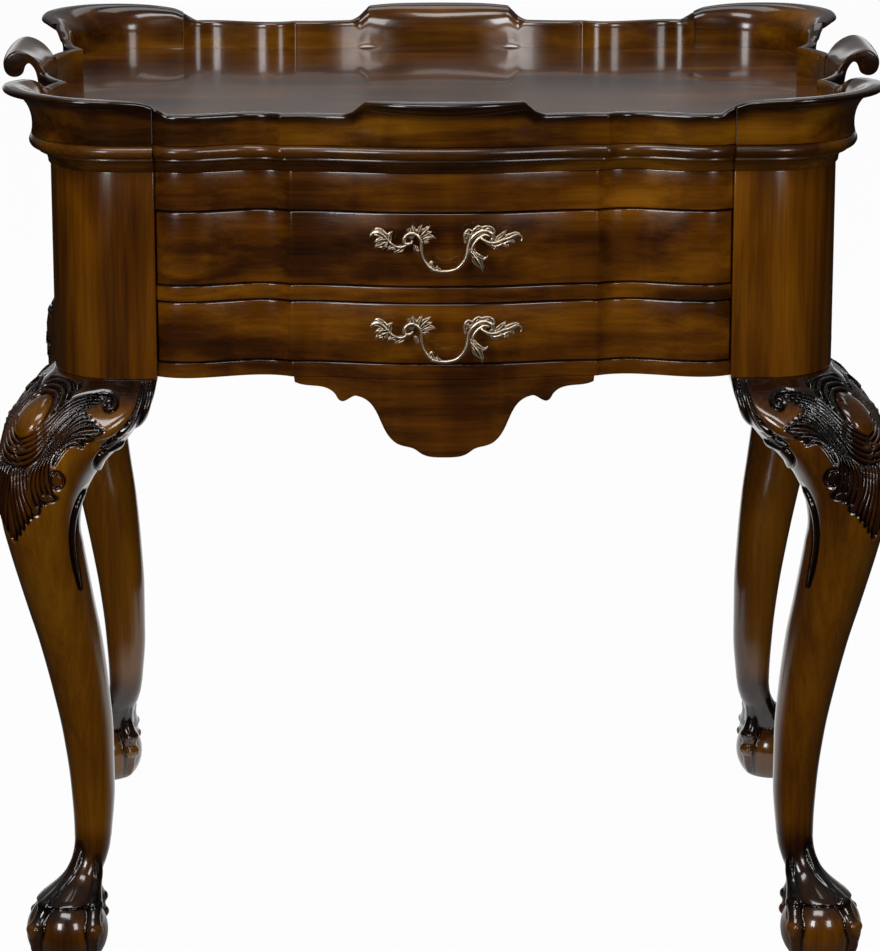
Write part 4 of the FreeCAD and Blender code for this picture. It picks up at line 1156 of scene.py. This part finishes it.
def leg_foot():
    """The front-left foot: four toes and the web between them, gripping a ball."""
    heights = np.linspace(52.5, 114, 26)
    rings = np.array(palm_rings, float)[::-1]
    palm = [[(ball_middle[0] + outward[0] * far + wide * math.cos(t),
              ball_middle[1] + outward[1] * far + wide * math.sin(t), z) for t in full_turn(56)]
            for z, (far, wide) in zip(heights, flowing_columns(heights, rings[:, 1],
                                                               rings[:, [0, 2]]))]
    parts = [skin(palm), ball_mesh(ball_middle, ball_radius, 72)]
    toes = [toe_parts(toe_front), toe_parts(toe_back), toe_parts(toe_side),
            toe_parts(toe_side, -1)]
    for toe in toes:
        parts += toe[0]
    points, faces = melted(parts, foot_voxel, 2)
    points[:, 2] = np.maximum(points[:, 2], 0.0)
    # Painted shade: the deeper a point lies in a hollow of the foot, the darker it is; the ankle
    # adds its glaze and the web's painted shade on the ball
    darkening = hollows((points, faces), 14, 0.6) + ankle_glaze_and_web_shade(points[:, 2])
    # The toes are darker along their length, and lighter on the crests of the lower knuckles
    for _, line, radii, crest in toes:
        clear = np.min([np.linalg.norm(points - place, axis=1) - radius
                        for place, radius in zip(line, radii)], axis=0)
        near_crest = 1 - eased(np.linalg.norm(points - crest, axis=1), 2.5, 10.0)
        darkening += 0.34 * (1 - eased(clear, 0.4, 2.6)) * (1 - near_crest)
        darkening -= 0.20 * near_crest
    return (points, faces), np.clip(darkening, 0, 1)


shaft_part, shaft_hollow = leg_shaft()
foot_part, foot_hollow = leg_foot()
for corner, (x_sign, y_sign) in corner_signs.items():
    piece("carved_leg_" + corner, flipped(shaft_part, x_sign, y_sign), carved_finish, "case",
          ["leg_" + corner], crease=60, hollow=shaft_hollow, mend=False)
    piece("claw_foot_" + corner, flipped(foot_part, x_sign, y_sign), carved_finish, "case",
          ["leg_" + corner], crease=70, hollow=foot_hollow, mend=False)


# ---------------------------------------------------------------- cast pulls
bail_y = -277.0                 # plane of the castings
stem_foot_y, stem_rise = -258.5, 3.0
nut_seat_y, bolt_tip_y = -222.0, -214.0
stem_places, bolt_radius = (-28.0, 33.0), 2.1
# The radius along a stem, which swells to its rose on the drawer front
stem_marks = [bail_y, bail_y + 2, bail_y + 6, stem_foot_y - 6, stem_foot_y - 3, stem_foot_y]
stem_radii = [2.2, 3.0, 3.2, 3.0, 3.9, 4.2]
casting_voxel = 0.36            # finest detail that melting leaves on a casting
pull_levels = {"upper": 652.2, "lower": 574.0}
# Everything on a casting is drawn as (across, above the left scroll). The bail and its scrolls,
# with the radius at each place
bail_line = [(-27.3, -1.1, 1.2), (-30.1, -3.3, 1.4), (-33.4, -2.7, 1.6), (-34.0, 1.4, 1.7),
             (-31.0, 5.0, 1.6), (-25.5, 5.6, 1.7), (-20.9, 1.4, 1.55), (-19.2, -6.7, 1.55),
             (-18.6, -13.4, 1.55), (-15.6, -19.4, 1.55), (-11.1, -24.6, 1.55), (-4.2, -26.9, 1.6),
             (3.2, -26.9, 1.6), (9.7, -25.0, 1.55), (15.2, -20.0, 1.7), (18.6, -13.5, 1.9),
             (19.6, -6.7, 1.6), (22.0, 0.5, 1.6), (26.8, 5.5, 1.9), (32.8, 7.7, 1.7),
             (38.4, 6.5, 1.9), (41.0, 2.9, 1.7), (39.2, 0.0, 1.4)]
inner_strand = [(22.2, -11.0, 0.9), (23.6, -6.0, 1.3), (26.0, -1.5, 1.4), (30.0, 2.4, 1.4),
                (34.5, 4.2, 1.3), (37.4, 3.2, 1.0)]
# Midribs and looped leaf edges: the line, and its first and last radius
ribs = [([(-33, -4.6), (-39.4, -5.8), (-45.8, -2.0), (-50, 3.0), (-55, 6.8), (-60.5, 6.4),
          (-63, 2.4)], 1.3, 0.7),
        ([(31.5, 1.2), (36, -1.6), (41, -2.6), (46, -1.4), (52, 0.8), (58, 2.8), (62, 4.0),
          (65, 2.6), (64.6, -1.2)], 1.4, 0.8),
        ([(34.5, -1.5), (39.5, -4.6), (44.5, -5.0), (50, -3.0), (56, -1.6)], 1.1, 0.7),
        ([(17.3, -2.2), (16.4, 2.8), (17.8, 7.2), (20.4, 9.0), (22.8, 7.8), (22.0, 4.4)], 1.1, 0.8),
        ([(24.0, 8.0), (26.6, 11.0), (29.3, 11.8), (31.8, 10.4), (31.4, 8.6)], 1.0, 0.8),
        ([(31.6, 10.8), (35.5, 11.9), (39.2, 11.2), (41.9, 8.6), (41.8, 5.6)], 1.0, 0.8),
        ([(23, -11), (27.2, -15.5), (30.6, -21.5), (32.0, -27.2)], 1.0, 0.7)]
# Leaf blades: the line from root to tip, and the greatest width
blades = [([(-47.5, 0.5), (-52, 4.5), (-57, 6.6), (-61.5, 4.6), (-63.2, 1.9)], 6.5),
          ([(-50.5, 3.6), (-54.5, 8.2), (-58, 8.8), (-61.3, 7.2)], 4.0),
          ([(-45.8, -2.4), (-47.2, 2.0), (-43.6, 7.4)], 5.2),
          ([(-47.5, -1.4), (-53, -3.3), (-59.6, -7.4)], 5.6),
          ([(-49.5, 0.6), (-54.5, 0.0), (-60.0, -2.6)], 4.0),
          ([(-48.0, -2.6), (-51.0, -5.6), (-52.2, -9.2)], 4.2),
          ([(-39.5, -5.6), (-45.0, -6.4), (-48.6, -9.4)], 4.4),
          ([(-33.8, -5.4), (-38.5, -8.0), (-43.0, -11.8)], 5.6),
          ([(-24.8, 4.6), (-26.6, 9.0), (-26.8, 13.0)], 5.2),
          ([(-22.2, 4.2), (-20.6, 9.2), (-18.8, 13.4)], 4.8),
          ([(-20.8, 3.4), (-16.0, 8.4), (-12.0, 12.4)], 4.8),
          ([(-19.8, 2.0), (-14.0, 5.6), (-10.4, 7.6)], 4.2),
          ([(-19.4, 0.2), (-13.0, 2.8), (-7.2, 1.5)], 5.0),
          ([(-19.0, -1.6), (-15.6, -1.4), (-12.6, -2.8)], 3.6),
          ([(18.6, -1.0), (19.2, 3.4), (21.0, 7.0)], 3.8),
          ([(26.2, 7.6), (28.2, 9.6), (30.2, 9.2)], 3.2),
          ([(34.0, 9.2), (37.0, 10.0), (40.0, 8.0)], 3.2),
          ([(42.6, -1.4), (47.2, 2.4), (52.0, 8.2)], 4.8),
          ([(45.5, -0.8), (50.4, 1.6), (54.4, 5.4)], 3.8),
          ([(50, 0), (56, 2.5), (61.5, 4.6), (65.0, 2)], 5.4),
          ([(38, -3), (42, -5.5), (45.3, -9.8)], 4.6),
          ([(46.5, -2.4), (51.4, -4.0), (54.8, -7.5)], 4.6),
          ([(53, -0.8), (57, -1.6), (59.6, -3.8)], 3.6),
          ([(22.6, -10), (27, -16), (31, -22.5), (32.2, -28.2)], 6.0),
          ([(24, -14.5), (26.4, -19.6), (29.2, -23.6)], 4.2),
          ([(24, -10), (29.6, -15), (33.6, -16), (36.8, -13.2)], 4.6),
          ([(22.8, -7.4), (26, -11.4), (28.6, -15)], 3.4),
          ([(-7, -26), (-11.2, -22.6), (-10.8, -18.8), (-8.4, -19.2)], 4.2),
          ([(-2, -26.6), (-6.2, -24.6), (-6.0, -21.6)], 3.8),
          ([(-25.6, -4.4), (-24, -7.6), (-21.8, -11.6)], 3.8)]


def cast_place(spot, level, forward=0.0):
    """A place on the casting, whose sprays lean back towards the drawer at their ends."""
    lean = 0.0022 * max(abs(spot[0]) - 30.0, 0.0) ** 2
    return np.array([spot[0], bail_y + lean - forward, level + spot[1]])


def leaf_blade(line, width, level):
    """A leaf of the casting: cupped, with a raised midrib, raised edges and a pointed tip."""
    spots = through(line, 16)
    shares = np.linspace(0, 1, 16)
    halves = 0.58 * width * np.minimum(0.35 + 2.2 * shares, 1.0) * (1 - shares ** 3.0)
    halves = np.clip(halves, 0.3, 0.58 * width)
    rows = []
    for spot, way, half in zip(spots, heading(spots), halves):
        side = np.array([-way[1], way[0]])
        front, back = [], []
        for across in np.linspace(-1, 1, 9):
            crest = 1.7 - 0.9 * across ** 2 + 0.5 * math.exp(-(across / 0.2) ** 2)
            crest -= 0.9 * math.exp(-((abs(across) - 0.45) / 0.22) ** 2)
            place = spot + side * across * half
            front.append(cast_place(place, level, crest * min(1, 0.4 + half / 2)))
            back.append(cast_place(place, level, -0.9))
        rows.append(front + back[::-1])
    return skin(rows)


def cast_pull(level):
    """One casting: the bail and its scrolls, leaf sprays, stems with their roses, and bolts."""
    def strand(line, forward):
        line = np.array(line, float)
        fine = through(line, 150)
        return bar([cast_place(spot, level, forward) for spot in fine[:, :2]],
                   np.maximum(fine[:, 2], 0.6), 12)

    parts = strand(bail_line, 0.6) + strand(inner_strand, 0.3)
    for line, first, last in ribs:
        radii = np.linspace(first, last, len(line))[:, None]
        parts += strand(np.hstack([np.array(line, float), radii]), 1.0)
    parts += [leaf_blade(line, width, level) for line, width in blades]
    z = level + stem_rise
    spots = np.linspace(bail_y, stem_foot_y, 14)
    for x in stem_places:
        parts.append(tube([(x, y, z) for y in spots], flowing(spots, stem_marks, stem_radii), 20))
        parts.append(tube([(x, y, z) for y in (stem_foot_y - 1, nut_seat_y - 6, bolt_tip_y)],
                          [bolt_radius] * 3, 16))
    return melted(parts, casting_voxel, 1)


for name, level in pull_levels.items():
    casting = cast_pull(level)
    piece(name + "_cast_pull", casting, cast_brass, name + "_drawer",
          [name + "_pull"], crease=60, hollow=hollows(casting, 12, 0.16), mend=False)


# ---------------------------------------------------------------- finishes of the other solids
def finish_nodes(names, finish):
    """Gives solids of the frame a finish."""
    for name in names:
        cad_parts[name].data.materials.clear()
        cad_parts[name].data.materials.append(finish)


finish_nodes(["tray_board"], tray_finish)
finish_nodes([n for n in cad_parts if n.endswith("_nuts")], nut_steel)
finish_nodes(["dust_board", "upper_drawer_back", "lower_drawer_back", "upper_drawer_bottom",
              "lower_drawer_bottom", "drawer_stops"], poplar)
finish_nodes([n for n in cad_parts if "runner" in n or "kicker" in n or n == "glue_blocks"
              or "_drawer_side_" in n], poplar_deep)


# ---------------------------------------------------------------- studio
def backdrop_share(tree, area):
    """1 for the lens alone, and 1 for the lens and for what mirrors or refracts an area."""
    seen, glossy, refracted = [add(tree, "LightPath", give="Is %s Ray" % kind)
                               for kind in ("Camera", "Glossy", "Transmission")]
    mirrored = add(tree, "Math", {0: glossy, 1: refracted}, operation="MAXIMUM")
    mirrored = add(tree, "Math", {0: mirrored, 1: area}, operation="MULTIPLY")
    return seen, add(tree, "Math", {0: seen, 1: mirrored}, operation="MAXIMUM")


def studio_floor():
    """A pale paper floor that runs back from under the table and keeps its soft shadow."""
    bpy.ops.mesh.primitive_plane_add(size=40)
    floor = bpy.context.object
    floor.name = "studio_floor"
    finish, tree = new_finish("pale_studio_floor")
    plain = add(tree, "BsdfDiffuse", {"Color": linear("#dcdcdc")})
    glow = add(tree, "Emission", {"Color": linear("#ffffff"), "Strength": 1.0})
    spot = add(tree, "TexCoord", give="Object")
    ahead = add(tree, "MapRange", {"Value": add(tree, "SeparateXYZ", {0: spot}, give="Y"),
                                   "From Min": -0.35, "From Max": 0.0, "To Min": 0.0,
                                   "To Max": 1.0})
    aside = add(tree, "Math", {0: add(tree, "SeparateXYZ", {0: spot}, give="X")},
                operation="ABSOLUTE")
    beside = add(tree, "MapRange", {"Value": aside, "From Min": 0.40, "From Max": 0.62,
                                    "To Min": 1.0, "To Max": 0.0})
    paper = add(tree, "Math", {0: ahead, 1: beside}, operation="MULTIPLY")
    seen, shown = backdrop_share(tree, paper)
    share = add(tree, "Math", {0: shown, 1: 0.97}, operation="MULTIPLY")
    white = add(tree, "MixShader", {0: share, 1: plain, 2: glow})
    # Beyond the paper the room is dark for anything but the lens
    dark = add(tree, "BsdfDiffuse", {"Color": linear("#2a2a2a")})
    lit = add(tree, "Math", {0: seen, 1: paper}, operation="MAXIMUM")
    mix = add(tree, "MixShader", {0: lit, 1: dark, 2: white})
    add(tree, "OutputMaterial", {"Surface": mix})
    floor.data.materials.append(finish)


def studio_lamp(name, place, aim_height, size, power):
    """A white soft box that points at a height in the middle of the table."""
    lamp = bpy.data.lights.new(name, "AREA")
    lamp.shape = "RECTANGLE"
    lamp.size, lamp.size_y = size
    lamp.energy = power
    holder = bpy.data.objects.new(name, lamp)
    bpy.context.scene.collection.objects.link(holder)
    holder.location = place
    way = holder.location - Vector((0, 0, aim_height))
    holder.rotation_euler = way.to_track_quat("Z", "Y").to_euler()


def studio_world():
    """A white backdrop behind the table, and a dim room in front of it."""
    world = bpy.data.worlds.new("studio")
    bpy.context.scene.world = world
    world.use_nodes = True
    tree = world.node_tree
    tree.nodes.clear()
    way = add(tree, "TexCoord", give="Generated")
    behind = add(tree, "MapRange", {"Value": add(tree, "SeparateXYZ", {0: way}, give="Y"),
                                    "From Min": 0.35, "From Max": 0.9, "To Min": 0.01,
                                    "To Max": 0.15})
    overhead = add(tree, "MapRange", {"Value": add(tree, "SeparateXYZ", {0: way}, give="Z"),
                                      "From Min": 0.1, "From Max": 0.9, "To Min": 0.0,
                                      "To Max": 0.14})
    room = add(tree, "Math", {0: behind, 1: overhead}, operation="ADD")
    # The backdrop hangs behind, from the floor to a little over the table
    hung = add(tree, "MapRange", {"Value": add(tree, "SeparateXYZ", {0: way}, give="Y"),
                                  "From Min": 0.86, "From Max": 0.93, "To Min": 0.0,
                                  "To Max": 1.0})
    under_top = add(tree, "MapRange", {"Value": add(tree, "SeparateXYZ", {0: way}, give="Z"),
                                       "From Min": 0.10, "From Max": 0.16, "To Min": 1.0,
                                       "To Max": 0.0})
    sheet = add(tree, "Math", {0: hung, 1: under_top}, operation="MULTIPLY")
    white = backdrop_share(tree, sheet)[1]
    level = add(tree, "Math", {0: room, 1: white}, operation="MAXIMUM")
    shine = add(tree, "Background", {"Color": linear("#ffffff"), "Strength": level})
    add(tree, "OutputWorld", {"Surface": shine})


def studio_camera():
    """A long lens in front of the table, a little above the tray."""
    lens = bpy.data.cameras.new("lens")
    lens.sensor_fit = "HORIZONTAL"
    lens.sensor_width = 36.0
    lens.lens = 167.7
    lens.clip_end = 60
    holder = bpy.data.objects.new("camera", lens)
    bpy.context.scene.collection.objects.link(holder)
    holder.location = (-0.0349, -3.6622, 1.3487)
    holder.rotation_euler = (math.pi / 2 - 0.2603, 0.0006, -0.0093)
    bpy.context.scene.camera = holder


studio_floor()
studio_world()
studio_camera()
for name, place, aim_height, size, power in (
        ("left_box", (-1.25, -2.9, 1.40), 0.60, (0.62, 0.85), 30),
        ("right_box", (1.25, -2.9, 1.40), 0.60, (0.62, 0.85), 20),
        ("high_box", (-0.4, -2.2, 3.1), 0.5, (1.6, 0.8), 38),
        ("top_box", (0.0, 0.4, 3.0), 0.6, (1.8, 1.2), 20),
        ("back_box", (0.5, 2.4, 2.9), 0.5, (1.8, 1.1), 7)):
    studio_lamp(name, place, aim_height, size, power)
bpy.context.scene.view_settings.view_transform = "Standard"
